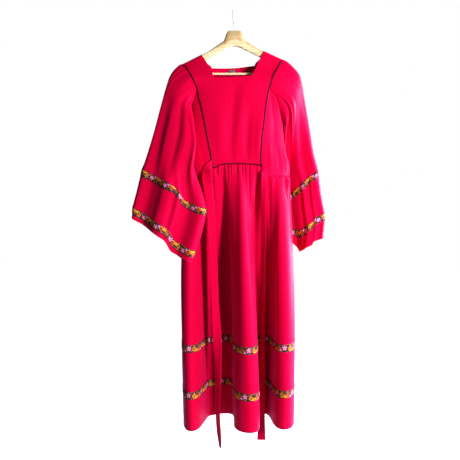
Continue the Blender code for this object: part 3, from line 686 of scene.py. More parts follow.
def ribbon_print(name):
    """Flowers, paisleys, leaves and scrolls in gold, orange, pink and lilac on black-brown."""
    paint = Paint(name)
    paint.set(Sheen_Weight=0.0, Specular_IOR_Level=0.12)
    u, v, _ = paint.axes("UV")
    repeat = 0.068

    def motif(shift, up):
        """Along and across from the middle of a repeated motif, in metres."""
        x = (u + 7.0 + shift).math("MODULO", repeat) - repeat / 2
        return x, v - up

    def ring(x, y):
        return (x * x + y * y).math("SQRT")

    def petals(x, y, radius, count, turn):
        angle = y.math("ARCTAN2", x)
        lobes = (angle * count + turn).math("COSINE")
        return ring(x, y) - (lobes * (radius * 0.24) + radius * 0.80)

    def drop(x, y, length, wide, bend):
        """A paisley's body, round below, whose tip curls over."""
        narrow = (y / length).math("MULTIPLY_ADD", -0.5, 0.5).math("MAXIMUM", 0.02)
        aside = (x + y * y * bend) / wide / narrow.math("POWER", 0.8)
        return ring(aside, y / length)

    ground = paint.mixed(paint.noise(paint.placed("UV", (90.0, 90.0, 1.0)), 1.0, 3.0),
                         (0.006, 0.003, 0.002), (0.026, 0.011, 0.005))
    # Scrolls: the edges of drifting rings, in old gold.
    curl = paint.wave(paint.placed("UV", (1.0, 1.0, 1.0)), 42.0, "DIAGONAL", 9.0)
    scrolls = (curl - 0.62).math("ABSOLUTE").soft_below(0.055, 0.03)
    colour = paint.mixed(scrolls, ground, (0.42, 0.13, 0.012))
    leaf_noise = paint.noise(paint.placed("UV", (150.0, 210.0, 1.0)), 1.0, 1.0)
    leaves = (leaf_noise * -1.0).soft_below(-0.64, 0.025)
    colour = paint.mixed(leaves, colour, (0.10, 0.085, 0.012))
    spot_noise = paint.noise(paint.placed("UV", (230.0, 190.0, 1.0)), 1.0, 1.0)
    spots = (spot_noise * -1.0).soft_below(-0.64, 0.02)
    colour = paint.mixed(spots, colour, (0.46, 0.08, 0.22))
    # Paisleys lean along the ribbon between the flowers.
    for shift, up, bend, rim, heart in (
        (0.000, 0.0128, 34.0, (0.80, 0.21, 0.008), (0.42, 0.040, 0.008)),
        (0.026, 0.0135, -31.0, (0.70, 0.38, 0.022), (0.60, 0.13, 0.008)),
    ):
        x, y = motif(shift, up)
        body = drop(x, y, 0.0112, 0.0100, bend)
        colour = paint.mixed(body.soft_below(0.96, 0.06), colour, rim)
        colour = paint.mixed(body.soft_below(0.74, 0.06), colour, (0.010, 0.004, 0.003))
        colour = paint.mixed(body.soft_below(0.40, 0.06), colour, heart)
    # Flowers with a ring and a heart.
    for shift, up, radius, count, petal, heart in (
        (0.047, 0.0142, 0.0098, 5.0, (0.80, 0.19, 0.42), (0.75, 0.34, 0.015)),
        (0.0135, 0.0070, 0.0064, 6.0, (0.82, 0.33, 0.012), (0.50, 0.02, 0.015)),
        (0.060, 0.0060, 0.0050, 5.0, (0.58, 0.28, 0.60), (0.75, 0.45, 0.03)),
    ):
        x, y = motif(shift, up)
        edge = petals(x, y, radius, count, shift * 90.0)
        far = ring(x, y)
        colour = paint.mixed(edge.soft_below(0.0, 0.0003), colour, (0.018, 0.009, 0.006))
        colour = paint.mixed(edge.soft_below(-radius * 0.12, 0.0003), colour, petal)
        colour = paint.mixed(far.soft_below(radius * 0.36, 0.0003), colour, (0.20, 0.030, 0.020))
        colour = paint.mixed(far.soft_below(radius * 0.24, 0.0003), colour, heart)
    paint.colour(colour)
    grain = paint.noise(paint.placed("UV", (900.0, 900.0, 1.0)), 1.0, 2.0)
    # A row of stitches holds each edge of the ribbon.
    stitch = (u * (2 * math.pi / 0.0027)).math("SINE") * -1.0
    near = ((v - BAND_HIGH / 2).math("ABSOLUTE") - (BAND_HIGH / 2 - 0.0018)).math("ABSOLUTE")
    sewn = stitch.soft_below(0.3, 0.3) * near.soft_below(0.0004, 0.0002)
    paint.bumpy(grain * 0.5 + sewn, 0.5, 0.0006)
    paint.rough(grain * 0.12 + 0.58)
    return paint.made


def satin_cord(name):
    """Dark maroon satin wound on the piping, with its slanting folds of bias; painted shade along
    the folds makes darker and lighter stripes.
    """
    paint = Paint(name)
    paint.set(Specular_IOR_Level=0.16, Specular_Tint=(1.0, 0.35, 0.45, 1.0))
    bias = paint.wave(paint.placed("UV", (1.0, 1.0, 1.0)), 95.0, "DIAGONAL", 1.5)
    # Painted shade: the colour goes darker and lighter along the bias folds, which the bump also
    # raises.
    paint.colour(paint.mixed(bias, (0.014, 0.0008, 0.003), (0.036, 0.0016, 0.008)))
    paint.rough(bias * 0.12 + 0.46)
    paint.bumpy(bias, 0.25, 0.0005)
    return paint.made


def pale_wood(name, dark, light, shoulder):
    """Pale varnished wood whose grain runs along the hanger; painted shade darkens its sloping top.
    """
    paint = Paint(name)
    paint.set(Coat_Weight=0.25, Coat_Roughness=0.22, Specular_IOR_Level=0.4)
    along = paint.placed("Object", (2.2, 14.0, 26.0))
    rings = paint.wave(along, 1.0, "Z", 9.0)
    drift = paint.noise(paint.placed("Object", (9.0, 60.0, 90.0)), 1.0, 3.0)
    fibre = paint.noise(paint.placed("Object", (28.0, 900.0, 900.0)), 1.0, 3.0)
    grain = rings * 0.30 + drift * 0.40 + fibre * 0.30
    tone = paint.colours(grain, [(0.20, dark), (0.75, light)])
    # Painted shade: the sloping top above the face line is darkened, by the share the last argument
    # gives.
    x, _, z = paint.axes("Object")
    above = (z + (x - HANG_SHIFT).math("ABSOLUTE") * FACE_SLOPE).math("MULTIPLY", -1.0)
    top = above.soft_below(-FACE_TOP_Z, 0.0012)
    paint.colour(paint.mixed(top * shoulder, tone, (0.34, 0.25, 0.08)))
    paint.rough(fibre * 0.15 + 0.34)
    paint.bumpy(fibre, 0.15, 0.0003)
    return paint.made


def plated_wire(name):
    """Bright plated wire with faint scuffs."""
    paint = Paint(name)
    paint.set(Metallic=0.45)
    scuff = paint.noise(paint.placed("Object", (60.0, 60.0, 420.0)), 1.0, 3.0)
    paint.colour(paint.mixed(scuff, (0.74, 0.74, 0.76), (0.90, 0.90, 0.92)))
    paint.rough(scuff * 0.18 + 0.22)
    return paint.made


def woven_label(name):
    """A small dark woven label with nothing on it."""
    paint = Paint(name)
    rib = paint.wave(paint.placed("Object", (1.0, 1.0, 1.0)), 320.0, "X")
    weft = paint.wave(paint.placed("Object", (1.0, 1.0, 1.0)), 380.0, "Z")
    paint.colour(paint.mixed(rib, (0.050, 0.056, 0.050), (0.095, 0.105, 0.095)))
    paint.rough(weft * 0.1 + 0.62)
    paint.bumpy(rib * 0.5 + weft * 0.5, 0.4, 0.0003)
    return paint.made


CREPE = crepe("crimson_crepe", (0.40, 0.0003, 0.020), (0.48, 0.0004, 0.026), 0.07)
PRINT = ribbon_print("ribbon_print")
PIPING = satin_cord("maroon_satin")
# The arms' sloping top gets painted shade; the bar gets none.
ARM_WOOD_PAINTED_SHADE = pale_wood("pale_wood", (0.48, 0.37, 0.15), (0.70, 0.58, 0.29), 0.62)
BAR_WOOD = pale_wood("bar_wood", (0.82, 0.52, 0.26), (0.95, 0.70, 0.40), 0.0)
WIRE = plated_wire("plated_wire")
LABEL = woven_label("label_weave")


# The body of the dress, as fine rows of points

PANEL_COLS = (SIDE_COLS, CENTRE_COLS, SIDE_COLS, BACK_COLS)
SECTION_SQUARENESS = 4


def hem_ring():
    """The hem from above, panel by panel, the last point of one the first of the next."""
    parts = [HEM_SIDE_LEFT, HEM_CENTRE, HEM_SIDE_RIGHT, HEM_BACK]
    per = 12
    loop = smooth_line([p for part in parts for p in part], per, closed=True)
    loop = np.vstack([loop, loop[:1]])
    out = []
    at = 0
    for part, cols in zip(parts, PANEL_COLS):
        out.append(even(loop[at : at + per * len(part) + 1], cols * FINE))
        at += per * len(part)
    return out


def body_section(row):
    """A level of the body, panel by panel, as points."""
    z, left, seam_l, seam_r, right, front, back, short = row
    middle = (left + right) / 2
    half = (right - left) / 2 + short

    def rounded(x):
        """The depth at a place across, as a share of the whole depth."""
        away = min(1.0, abs((x - middle) / half))
        return math.sqrt(max(0.0, 1 - away**SECTION_SQUARENESS))

    def turn(x0, x1, cols, depth):
        """The part of the section between two places across."""
        a = math.asin(max(-1, min(1, (x0 - middle) / half)))
        b = math.asin(max(-1, min(1, (x1 - middle) / half)))
        xs = [middle + half * math.sin(a + (b - a) * k / cols) for k in range(cols + 1)]
        return np.array([(x, depth * rounded(x), z) for x in xs])

    side_left = turn(left, seam_l, SIDE_COLS * FINE, -front)
    centre_x = np.linspace(seam_l, seam_r, CENTRE_COLS * FINE + 1)
    centre = np.array([(x, -front * rounded(x), z) for x in centre_x])
    side_right = turn(seam_r, right, SIDE_COLS * FINE, -front)
    rear = turn(right, left, BACK_COLS * FINE, back)
    side_left[-1] = centre[0]
    side_right[0] = centre[-1]
    if short == 0.0:
        side_left[0] = (left, 0.0, z)
        side_right[-1] = (right, 0.0, z)
    rear[0] = side_right[-1]
    rear[-1] = side_left[0]
    return [side_left, centre, side_right, rear]


def spline_rows(rows, step, before=None, after=None):
    """Rows with softly bent rows put between them, about a step apart."""
    out = []
    for k in range(len(rows) - 1):
        p1, p2 = rows[k], rows[k + 1]
        p0 = rows[k - 1] if k else (before if before is not None else 2 * p1 - p2)
        p3 = rows[k + 2] if k + 2 < len(rows) else (after if after is not None else 2 * p2 - p1)
        count = max(1, int(round(np.linalg.norm(p2 - p1, axis=1).max() / step)))
        out += [bent(p0, p1, p2, p3, s / count) for s in range(count)]
    out.append(rows[-1])
    return np.array(out)


def gathers(count, seed, short, long, full):
    """How strong and how long each gather of a panel is, uneven from one to the next."""
    pick = random.Random(seed)
    strength = [full * (0.25 + 1.15 * pick.random() ** 1.4) for _ in range(count + 1)]
    length = [short + (long - short) * pick.random() ** 1.6 for _ in range(count + 1)]
    return strength, length


def gather_wave(at, seed):
    """The wave of the gathers across a panel, some wider and some narrower."""
    drift = 0.50 * np.sin(at * 0.83 + seed) + 0.30 * np.sin(at * 2.1 + seed)
    return -np.cos(np.pi * (at * 0.86 + drift))


GATHER_HIGH = 0.0034
GATHER_ENDS = 0.6


def gathered(count, gathering, t):
    """How far out the gathers lift each of a row's points, at the share t down the panel."""
    strength, length = gathering
    at = np.arange(count) / FINE
    near = np.minimum(at.round().astype(int), len(strength) - 1)
    high = np.array(strength)[near] * np.clip(1 - t / np.array(length)[near], 0, 1) ** 1.4
    high = np.pad(high, FINE, mode="edge")
    high = np.convolve(high, np.ones(FINE) / FINE, "same")[FINE:-FINE]
    ends = np.clip(np.minimum(at, at[-1] - at) / GATHER_ENDS, 0, 1)
    return gather_wave(at, len(strength)) * high * ends * GATHER_HIGH


waist = body_section(BODY[0])
hem = hem_ring()
# Columns: seed, shortest and longest gather as shares of the skirt's length, how full they are.
PANEL_GATHERS = (
    (3, 0.03, 0.09, 1.4),
    (35, 0.02, 0.06, 1.0),
    (21, 0.06, 0.14, 3.2),
    (45, 0.05, 0.18, 1.0),
)
skirt_gathers = [gathers(cols, *row) for cols, row in zip(PANEL_COLS, PANEL_GATHERS)]

# How early the skirt opens across and in depth, how much it swells halfway down, the middle
# that its gathers stand away from, and the share of its length in which they begin.
OPENS_X = 1.3
OPENS_Y = 2.0
SKIRT_SWELL = 0.040
SKIRT_MIDDLE = (0.01, 0.0)
GATHERS_BEGIN = 0.02
SKIRT_STEP = 0.0085


def skirt_section(z):
    """A level of the skirt: the waist shape opening into the folds of the hem."""
    t = (SIDE_WAIST_Z - z) / (SIDE_WAIST_Z - HEM_Z)
    share = np.array([1 - (1 - t) ** OPENS_X, 1 - (1 - t) ** OPENS_Y])
    out = []
    for top, low, gathering in zip(waist, hem, skirt_gathers):
        flat = top[:, :2] * (1 - share) + low * share
        flat[:, 0] *= 1 + SKIRT_SWELL * math.sin(math.pi * t)
        away = flat - np.array(SKIRT_MIDDLE)
        away /= np.linalg.norm(away, axis=1)[:, None]
        wave = gathered(len(flat), gathering, t) * min(1.0, t / GATHERS_BEGIN)
        flat += away * wave[:, None]
        out.append(np.column_stack([flat, np.full(len(flat), z)]))
    return out


skirt_rows = int(round((SIDE_WAIST_Z - HEM_Z) / SKIRT_STEP))
skirt_z = np.linspace(HEM_Z, SIDE_WAIST_Z, skirt_rows + 1)
skirt = [skirt_section(z) for z in skirt_z]
levels = [body_section(row) for row in BODY]
# The waist seam arches a little, and its left end hangs lower than its right one.
WAIST_ARCH = 0.0030
LEFT_END_DROP = 0.0120
RIGHT_END_DROP = 0.0030
waist_row = levels[1][1]
waist_t = np.linspace(0.0, 1.0, CENTRE_COLS * FINE + 1)
waist_row[:, 2] += WAIST_ARCH * np.sin(np.pi * waist_t) - LEFT_END_DROP * bump(waist_t, 0.12)
waist_row[:, 2] -= RIGHT_END_DROP * bump(1.0 - waist_t, 0.10)
ring = np.array([np.vstack([level[0]] + [part[1:] for part in level[1:]]) for level in skirt])
panel_ends = FINE * np.cumsum([0, *PANEL_COLS])


def skirt_place(column, z):
    """A place on the skirt, by its coarse column and its level, as shares across and up."""
    across = row_lengths(ring)
    share = np.interp(column * FINE, np.arange(len(across)), across) / across[-1]
    return share, (z - HEM_Z) / (SIDE_WAIST_Z - HEM_Z)


# Long creases of the skirt: column and level where each starts and ends, width and height.
# The left side panel has columns 0 to 8, the middle front 8 to 32, the right side 32 to 40.
SKIRT_CREASES = [
    (2.2, -0.62, 2.6, -1.25, 0.020, 0.0050),
    (4.8, -0.62, 5.0, -1.40, 0.024, 0.0080),
    (7.6, -0.60, 7.9, -0.90, 0.014, -0.0060),
    (12.4, -0.57, 12.6, -1.25, 0.032, -0.0230),
    (21.6, -0.59, 21.4, -1.30, 0.030, 0.0140),
    (26.0, -0.58, 25.6, -0.72, 0.010, -0.0040),
    (29.8, -0.59, 30.2, -1.20, 0.022, -0.0220),
    (33.2, -0.60, 33.2, -0.78, 0.010, -0.0045),
    (35.2, -0.61, 35.8, -1.30, 0.030, 0.0120),
    (36.8, -0.60, 37.2, -0.70, 0.009, -0.0050),
    (38.2, -0.61, 38.4, -0.98, 0.014, -0.0050),
    (42.6, -0.61, 43.4, -1.12, 0.016, 0.0055),
    (45.8, -0.61, 45.2, -0.94, 0.012, -0.0060),
    (49.6, -0.61, 50.4, -1.24, 0.018, 0.0060),
    (53.6, -0.61, 53.0, -1.02, 0.014, -0.0070),
    (60.8, -0.61, 60.2, -1.18, 0.018, 0.0060),
    (64.6, -0.61, 65.2, -0.98, 0.013, -0.0065),
    (69.0, -0.61, 68.6, -1.10, 0.016, 0.0055),
]
placed_creases = [
    (*skirt_place(c0, z0), *skirt_place(c1, z1), wide, high)
    for c0, z0, c1, z1, wide, high in SKIRT_CREASES
]
ring = creased(ring, placed_creases, closed=True)
ring = rippled(ring, 0.0016, 0.055, 3.0, closed=True)
ring[:, -1] = ring[:, 0]
ring_normals = grid_normals(ring, closed=True)
# The row of stitches that holds the turned-up hem is drawn in.
hem_up = skirt_z - HEM_Z
ring = ring - ring_normals * (STITCH_DIP * bump(hem_up - HEM_STITCH, 0.0050))[:, None, None]


def skirt_panel(number):
    """One panel of the finished skirt, with its seams drawn in."""
    a, b = panel_ends[number], panel_ends[number + 1]
    part = ring[:, a : b + 1]
    return seam_dipped(part, ring_normals[:, a : b + 1], top=True)


skirt_names = ("skirt_front_left", "skirt_front_centre", "skirt_front_right", "skirt_back")
skirt_parts = [skirt_panel(k) for k in range(4)]

# The middle front panel goes on up to the waist seam, gathered all along it.
INSERT_ROWS = 7
low = skirt_parts[1][-1]
insert = []
for up in np.linspace(0.0, 1.0, INSERT_ROWS + 1)[1:]:
    row = low * (1 - up) + waist_row * up
    swell = math.sin(math.pi * min(1.0, 1.05 - up)) ** 0.6 if up < 1 else 0.0
    row[:, 1] -= gathered(len(row), skirt_gathers[1], 0.0) * swell
    insert.append(row)
skirt_parts[1] = np.concatenate([skirt_parts[1], np.array(insert)])


# The bodice
BODY_STEP = 0.007
STRAP_STEP = 0.006
NECK_SAG = 0.002
BACK_NECK_SAG = 0.004
BACK_FLAT = 0.72


def strap_line(row, cols):
    """A level of a shoulder strap, from the armhole to the neck."""
    ax, az, nx, nz, depth = row
    t = np.linspace(0, 1, cols * FINE + 1)
    return np.stack([ax + (nx - ax) * t, np.full(len(t), -depth), az + (nz - az) * t], axis=1)


front_left = [strap_line(row, NECK_FIRST) for row in STRAP_LEFT]
front_right = [strap_line(row, CENTRE_COLS - NECK_LAST)[::-1] for row in STRAP_RIGHT]
t = np.linspace(0, 1, (NECK_LAST - NECK_FIRST) * FINE + 1)
_, _, left_x, left_z, neck_depth = STRAP_LEFT[0]
_, _, right_x, right_z, _ = STRAP_RIGHT[0]
neck_x = left_x + (right_x - left_x) * t
neck_z = left_z + (right_z - left_z) * t - NECK_SAG * np.sin(np.pi * t)
neck_low = np.stack([neck_x, np.full(len(t), -neck_depth), neck_z], axis=1)
neck_row = np.vstack([front_left[0][:-1], neck_low, front_right[0][1:]])
after = 2 * neck_row - levels[-1][1]
front_main = spline_rows([level[1] for level in levels[1:]] + [neck_row], BODY_STEP, after=after)
left_cut = NECK_FIRST * FINE
right_cut = NECK_LAST * FINE
front_strap_left = spline_rows(front_left, STRAP_STEP, before=levels[-1][1][: left_cut + 1])
front_strap_right = spline_rows(front_right, STRAP_STEP, before=levels[-1][1][right_cut:])

side_left_grid = spline_rows([level[0] for level in levels], BODY_STEP)
side_right_grid = spline_rows([level[2] for level in levels], BODY_STEP)


def back_row(right, left, depth):
    """A row of the back that bulges between its two ends."""
    t = np.linspace(0, 1, BACK_COLS * FINE + 1)
    x = right[0] + (left[0] - right[0]) * t
    z = right[1] + (left[1] - right[1]) * t
    y = depth * (BACK_FLAT + (1 - BACK_FLAT) * np.sin(np.pi * t))
    return np.stack([x, y, z], axis=1)


back_rows = [levels[k][3] for k in range(5)]
back_rows += [back_row((rx, rz), (lx, lz), depth) for lx, lz, rx, rz, depth in BACK]
back_right = []
back_left = []
for lx, lz, nlx, nlz, nrx, nrz, rx, rz, depth in BACK_STRAP:
    t = np.linspace(0, 1, BACK_NECK_FIRST * FINE + 1)[:, None]
    back_right.append(np.array([rx, depth, rz]) * (1 - t) + np.array([nrx, depth, nrz]) * t)
    back_left.append(np.array([nlx, depth, nlz]) * (1 - t) + np.array([lx, depth, lz]) * t)
t = np.linspace(0, 1, (BACK_NECK_LAST - BACK_NECK_FIRST) * FINE + 1)[:, None]
middle = back_right[0][-1] * (1 - t) + back_left[0][0] * t
middle = middle + np.array([0.0, BACK_NECK_SAG, -BACK_NECK_SAG]) * np.sin(np.pi * t)
back_neck = np.vstack([back_right[0][:-1], middle, back_left[0][1:]])
back_main = spline_rows(back_rows + [back_neck], BODY_STEP, after=2 * back_neck - back_rows[-1])
back_cut_right = BACK_NECK_FIRST * FINE
back_cut_left = BACK_NECK_LAST * FINE
back_strap_right = spline_rows(back_right, STRAP_STEP, before=back_rows[-1][: back_cut_right + 1])
back_strap_left = spline_rows(back_left, STRAP_STEP, before=back_rows[-1][back_cut_left:])

# Soft creases of the bodice: across and up where each starts and ends, width and height.
FRONT_CREASES = [
    (0.56, 0.84, 0.34, 0.04, 0.032, -0.0046),
    (0.72, 0.92, 0.56, 0.30, 0.034, 0.0020),
    (0.78, 0.60, 0.76, 0.04, 0.018, -0.0045),
    (0.95, 0.56, 0.94, 0.06, 0.014, 0.0030),
    (0.16, 0.10, 0.24, 0.60, 0.024, 0.0024),
]
BACK_CREASES = [
    (0.20, 0.10, 0.34, 0.85, 0.034, 0.0030),
    (0.52, 0.06, 0.50, 0.75, 0.036, -0.0034),
    (0.78, 0.08, 0.68, 0.80, 0.032, 0.0030),
    (0.08, 0.12, 0.16, 0.48, 0.020, -0.0022),
    (0.93, 0.10, 0.86, 0.50, 0.020, -0.0022),
]
SIDE_LEFT_CREASES = [
    (0.70, 0.02, 0.55, 0.50, 0.010, 0.0022),
    (0.40, 0.02, 0.35, 0.40, 0.009, -0.0020),
]
SIDE_RIGHT_CREASES = [
    (0.86, 0.10, 0.84, 0.95, 0.014, 0.0040),
    (0.45, 0.20, 0.48, 0.95, 0.022, -0.0050),
    (0.25, 0.02, 0.30, 0.40, 0.008, 0.0026),
    (0.50, 0.02, 0.55, 0.34, 0.008, -0.0026),
    (0.75, 0.02, 0.78, 0.30, 0.008, 0.0024),
]


def eased(grid, shaped):
    """The shaped grid with its border still where the plain grid has it, so that seams meet."""
    rows, cols = grid.shape[:2]
    r = np.minimum(np.arange(rows), np.arange(rows)[::-1])[:, None] / BORDER_ROWS
    c = np.minimum(np.arange(cols), np.arange(cols)[::-1])[None, :] / BORDER_COLS
    share = np.clip(np.minimum(r, c), 0, 1)[:, :, None]
    return grid * (1 - share) + shaped * share


front_main = eased(front_main, creased(front_main, FRONT_CREASES))
back_main = eased(back_main, creased(back_main, BACK_CREASES))
side_left_grid = eased(side_left_grid, creased(side_left_grid, SIDE_LEFT_CREASES))
side_right_grid = eased(side_right_grid, creased(side_right_grid, SIDE_RIGHT_CREASES))


def sewn(grid):
    """A side panel with its seams drawn in."""
    return seam_dipped(grid, grid_normals(grid))


# The sleeves


def armhole(front_edges, back_edges):
    """An armhole's loop from the underarm up the front, over the shoulder and down the back."""
    line = np.vstack(front_edges + back_edges)
    keep = [0]
    for k in range(1, len(line)):
        if np.linalg.norm(line[k] - line[keep[-1]]) > 1e-5:
            keep.append(k)
    line = line[keep]
    if np.linalg.norm(line[0] - line[-1]) > 1e-5:
        line = np.vstack([line, line[:1]])
    return even(line, SLEEVE_TURNS)[:-1]


def above(column, z):
    """The points of a column that are no lower than a level."""
    return column[column[:, 2] >= z - 1e-6]


UNDERARM_Z = -0.410
ARM_CORNER_Z = -0.2887
loop_left = armhole(
    [
        above(side_left_grid[:, 0], UNDERARM_Z),
        above(front_main[:, 0], ARM_CORNER_Z),
        front_strap_left[:, 0],
    ],
    [back_strap_left[::-1, -1], above(back_main[:, -1], UNDERARM_Z)[::-1]],
)
loop_right = armhole(
    [
        above(side_right_grid[:, -1], UNDERARM_Z),
        above(front_main[:, -1], ARM_CORNER_Z),
        front_strap_right[:, -1],
    ],
    [back_strap_right[::-1, 0], above(back_main[:, 0], UNDERARM_Z)[::-1]],
)


def table_at(table, at):
    """A row of the table between its stations, softly bent."""
    rows = np.array(table)
    k = min(int(at), len(rows) - 2)
    t = at - k
    p1, p2 = rows[k], rows[k + 1]
    p0 = rows[k - 1] if k else 2 * p1 - p2
    p3 = rows[k + 2] if k + 2 < len(rows) else 2 * p2 - p1
    return bent(p0, p1, p2, p3, t)


def round_bump(u, at, wide):
    """A soft bump round the tube, 1 at its middle."""
    away = np.abs((u - at + 0.5) % 1.0 - 0.5)
    return np.exp(-((away / wide) ** 2))


def sleeve_grid(loop, table, folds, lap, pleat, side, seed):
    """Rings of a sleeve from the armhole down, and how many come before the table's first."""
    n = len(loop)
    strength, length = gathers(CAP_GATHERS, seed, CAP_SHORTEST, CAP_LONGEST, 1.0)
    share = (loop[:, 2] - loop[:, 2].min()) / (loop[:, 2].max() - loop[:, 2].min())
    turn = np.arccos(np.clip(1 - 2 * share, -1, 1)) / (2 * math.pi)
    top = int(np.argmax(loop[:, 2]))
    by_height = np.where(np.arange(n) <= top, turn, 1 - turn)
    even_turn = np.arange(n) / n
    high = 0.5 - 0.5 * np.cos(2 * math.pi * by_height)
    gather = gather_wave(2 * CAP_GATHERS * by_height, seed)
    near = np.clip((by_height * CAP_GATHERS).round().astype(int), 0, CAP_GATHERS)
    gather = gather * np.array(strength)[near]
    reach = np.array(length)[near]
    step = np.stack(
        [
            side * (CAP_OUT + CAP_OUT_TOP * high),
            -(CAP_STANDS + CAP_GATHER * gather * high) * np.sin(2 * math.pi * by_height),
            -CAP_DROP * (1 - high) - CAP_DROP_TOP * high,
        ],
        axis=1,
    )
    first = loop + step
    last = len(table) - 1
    lap_at, lap_wide, lap_x, lap_y, lap_whole, lap_gone = lap
    fold_at, slip, fold_deep, fold_from, fold_full = pleat

    def station(at):
        """The ring at a place along the table."""
        row = table_at(table, at)
        outer, inner = row[0:3], row[3:6]
        bulge_front, bulge_back, drop = row[6:9]
        across = inner - outer
        flat = unit(np.array([across[1], -across[0], 0.0]))
        if flat[1] > 0:
            flat = -flat
        mix = min(1.0, at / 4)
        mix = eased_in(mix) * 0.5 + mix * 0.5
        u = by_height * (1 - mix) + even_turn * mix
        c = np.cos(2 * math.pi * u)
        s = np.sin(2 * math.pi * u)
        depth = np.where(s > 0, bulge_front, bulge_back) * s
        grow = (at / last) ** 0.7
        for where, deep, wide in folds:
            depth = depth + deep * grow * round_bump(u, where, wide) * (1 if where < 0.5 else -1)
        fade = np.clip(1 - at / reach, 0, 1) ** 1.3
        depth = depth + TUBE_GATHER * fade * gather * np.abs(s) * high * np.where(s > 0, 1, -1)
        past = (u - fold_at + 0.5) % 1.0 - 0.5
        laid = min(1.0, max(0.0, (at - fold_from) / (fold_full - fold_from)))
        over = (0.5 + 0.5 * np.tanh(past / 0.005)) * bump(past, 0.06) * laid
        depth = depth + fold_deep * over
        ring_now = (outer + inner) / 2 + across / 2 * c[:, None] + flat * depth[:, None]
        ring_now += unit(across) * (0.5 * fold_deep * over)[:, None]
        ring_now[:, 2] += slip * laid * np.tanh(past / 0.010) * bump(past, 0.13)
        slack = min(1.0, max(0.0, (lap_gone - at) / (lap_gone - lap_whole)))
        slack = eased_in(slack) * round_bump(u, lap_at, lap_wide)
        ring_now[:, 0] += lap_x * slack
        ring_now[:, 1] += lap_y * slack
        ring_now[:, 2] -= drop * np.minimum((1 + c) / 1.15, (1 - c) / 0.85) * (s > 0)
        return ring_now

    seam = loop + step * SEAM_SHARE
    begin = station(0.0)
    soon = station(0.5)
    rings = [seam] + [loop * (1 - share) + first * share for share in (0.34, 0.67)]
    rings += [bent(seam, first, begin, soon, j / CAP_RINGS) for j in range(CAP_RINGS)]
    extra = len(rings)
    rings += [station(k / STATION_STEPS) for k in range(last * STATION_STEPS + 1)]
    grid = np.array(rings)
    # The turn from the cap into the tube is rounded, but hardly at its two folds.
    at = np.arange(len(grid))[1:-1, None, None]
    ending = extra + ROUND_GONE * STATION_STEPS - at
    ending = ending / ((ROUND_GONE - ROUND_WHOLE) * STATION_STEPS)
    soft = np.clip(at / ROUND_FROM, 0, 1) * np.clip(ending, 0, 1)
    off_fold = np.abs(np.sin(2 * math.pi * by_height))[None, :, None]
    soft = soft * (ROUND_FOLD + (1 - ROUND_FOLD) * off_fold)
    for _ in range(CAP_ROUNDING):
        grid[1:-1] += 0.5 * soft * ((grid[:-2] + grid[2:]) / 2 - grid[1:-1])
    return np.concatenate([grid, grid[:, :1]], axis=1), extra


# Creases of the sleeves: where round the tube and how far down each starts, the same where it
# ends, width and height.
SLEEVE_CREASES_LEFT = [
    (0.29, 0.10, 0.30, 0.60, 0.020, -0.0100),
    (0.15, 0.06, 0.11, 0.64, 0.016, 0.0080),
    (0.36, 0.14, 0.38, 0.62, 0.018, 0.0050),
    (0.265, 0.60, 0.265, 1.02, 0.017, -0.0120),
    (0.33, 0.62, 0.33, 1.02, 0.016, 0.0060),
    (0.10, 0.66, 0.10, 1.00, 0.015, 0.0050),
    (0.70, 0.10, 0.66, 0.80, 0.022, 0.0070),
    (0.82, 0.15, 0.84, 0.70, 0.018, -0.0070),
]
SLEEVE_CREASES_RIGHT = [
    (0.22, 0.03, 0.15, 0.24, 0.012, -0.0100),
    (0.30, 0.05, 0.26, 0.28, 0.014, 0.0050),
    (0.12, 0.12, 0.13, 0.40, 0.018, -0.0070),
    (0.21, 0.10, 0.22, 0.40, 0.020, 0.0060),
    (0.34, 0.30, 0.34, 0.95, 0.022, -0.0070),
    (0.42, 0.32, 0.42, 0.95, 0.018, 0.0060),
    (0.20, 0.48, 0.20, 0.98, 0.018, 0.0060),
    (0.27, 0.60, 0.28, 1.02, 0.015, -0.0080),
    (0.64, 0.20, 0.66, 0.80, 0.024, 0.0060),
    (0.78, 0.25, 0.80, 0.90, 0.022, -0.0070),
]
left_rings, left_extra = sleeve_grid(
    loop_left, SLEEVE_LEFT, SLEEVE_FOLDS_LEFT, SLEEVE_LAP_LEFT, SLEEVE_PLEAT_LEFT, -1, 5
)
right_rings, right_extra = sleeve_grid(
    loop_right, SLEEVE_RIGHT, SLEEVE_FOLDS_RIGHT, SLEEVE_LAP_RIGHT, SLEEVE_PLEAT_RIGHT, 1, 6
)


def sleeve_creased(rings, creases, way):
    """A sleeve with its creases; the seam at the armhole stays where it is."""
    lifts = [(a0, b0, a1, b1, wide, high * way) for a0, b0, a1, b1, wide, high in creases]
    made = creased(rings, lifts, closed=True)
    ease = np.clip(np.arange(len(rings)) / 8.0, 0, 1)[:, None, None]
    made = rings * (1 - ease) + made * ease
    made[:, -1] = made[:, 0]
    return made


left_rings = sleeve_creased(left_rings, SLEEVE_CREASES_LEFT, 1)
right_rings = sleeve_creased(right_rings, SLEEVE_CREASES_RIGHT, -1)


# The cloth pieces. A panel with straps is joined to them, so its points are merged further.
PANEL_MERGE = 0.00001
STRAP_MERGE = 0.0001
crepe_pieces = [(name, [grid], PANEL_MERGE) for name, grid in zip(skirt_names, skirt_parts)]
crepe_pieces += [
    ("bodice_front_centre", [front_main, front_strap_left, front_strap_right], STRAP_MERGE),
    ("bodice_side_left", [sewn(side_left_grid)], PANEL_MERGE),
    ("bodice_side_right", [sewn(side_right_grid)], PANEL_MERGE),
    ("bodice_back", [back_main, back_strap_right, back_strap_left], STRAP_MERGE),
    ("sleeve_left", [left_rings], PANEL_MERGE),
    ("sleeve_right", [right_rings], PANEL_MERGE),
]
for name, grids, merge in crepe_pieces:
    maps = [flat_map(grid) for grid in grids]
    turned = name == "sleeve_right"
    cloth_piece(name + "_cloth", maps, CREPE, name, merge=merge, flip=turned)


# The print ribbons lie on the cloth
RIBBON_GAP = 0.0004
RIBBON_OUT = SHELL / 2 + RIBBON / 2 + RIBBON_GAP
RIBBON_ROWS = 7


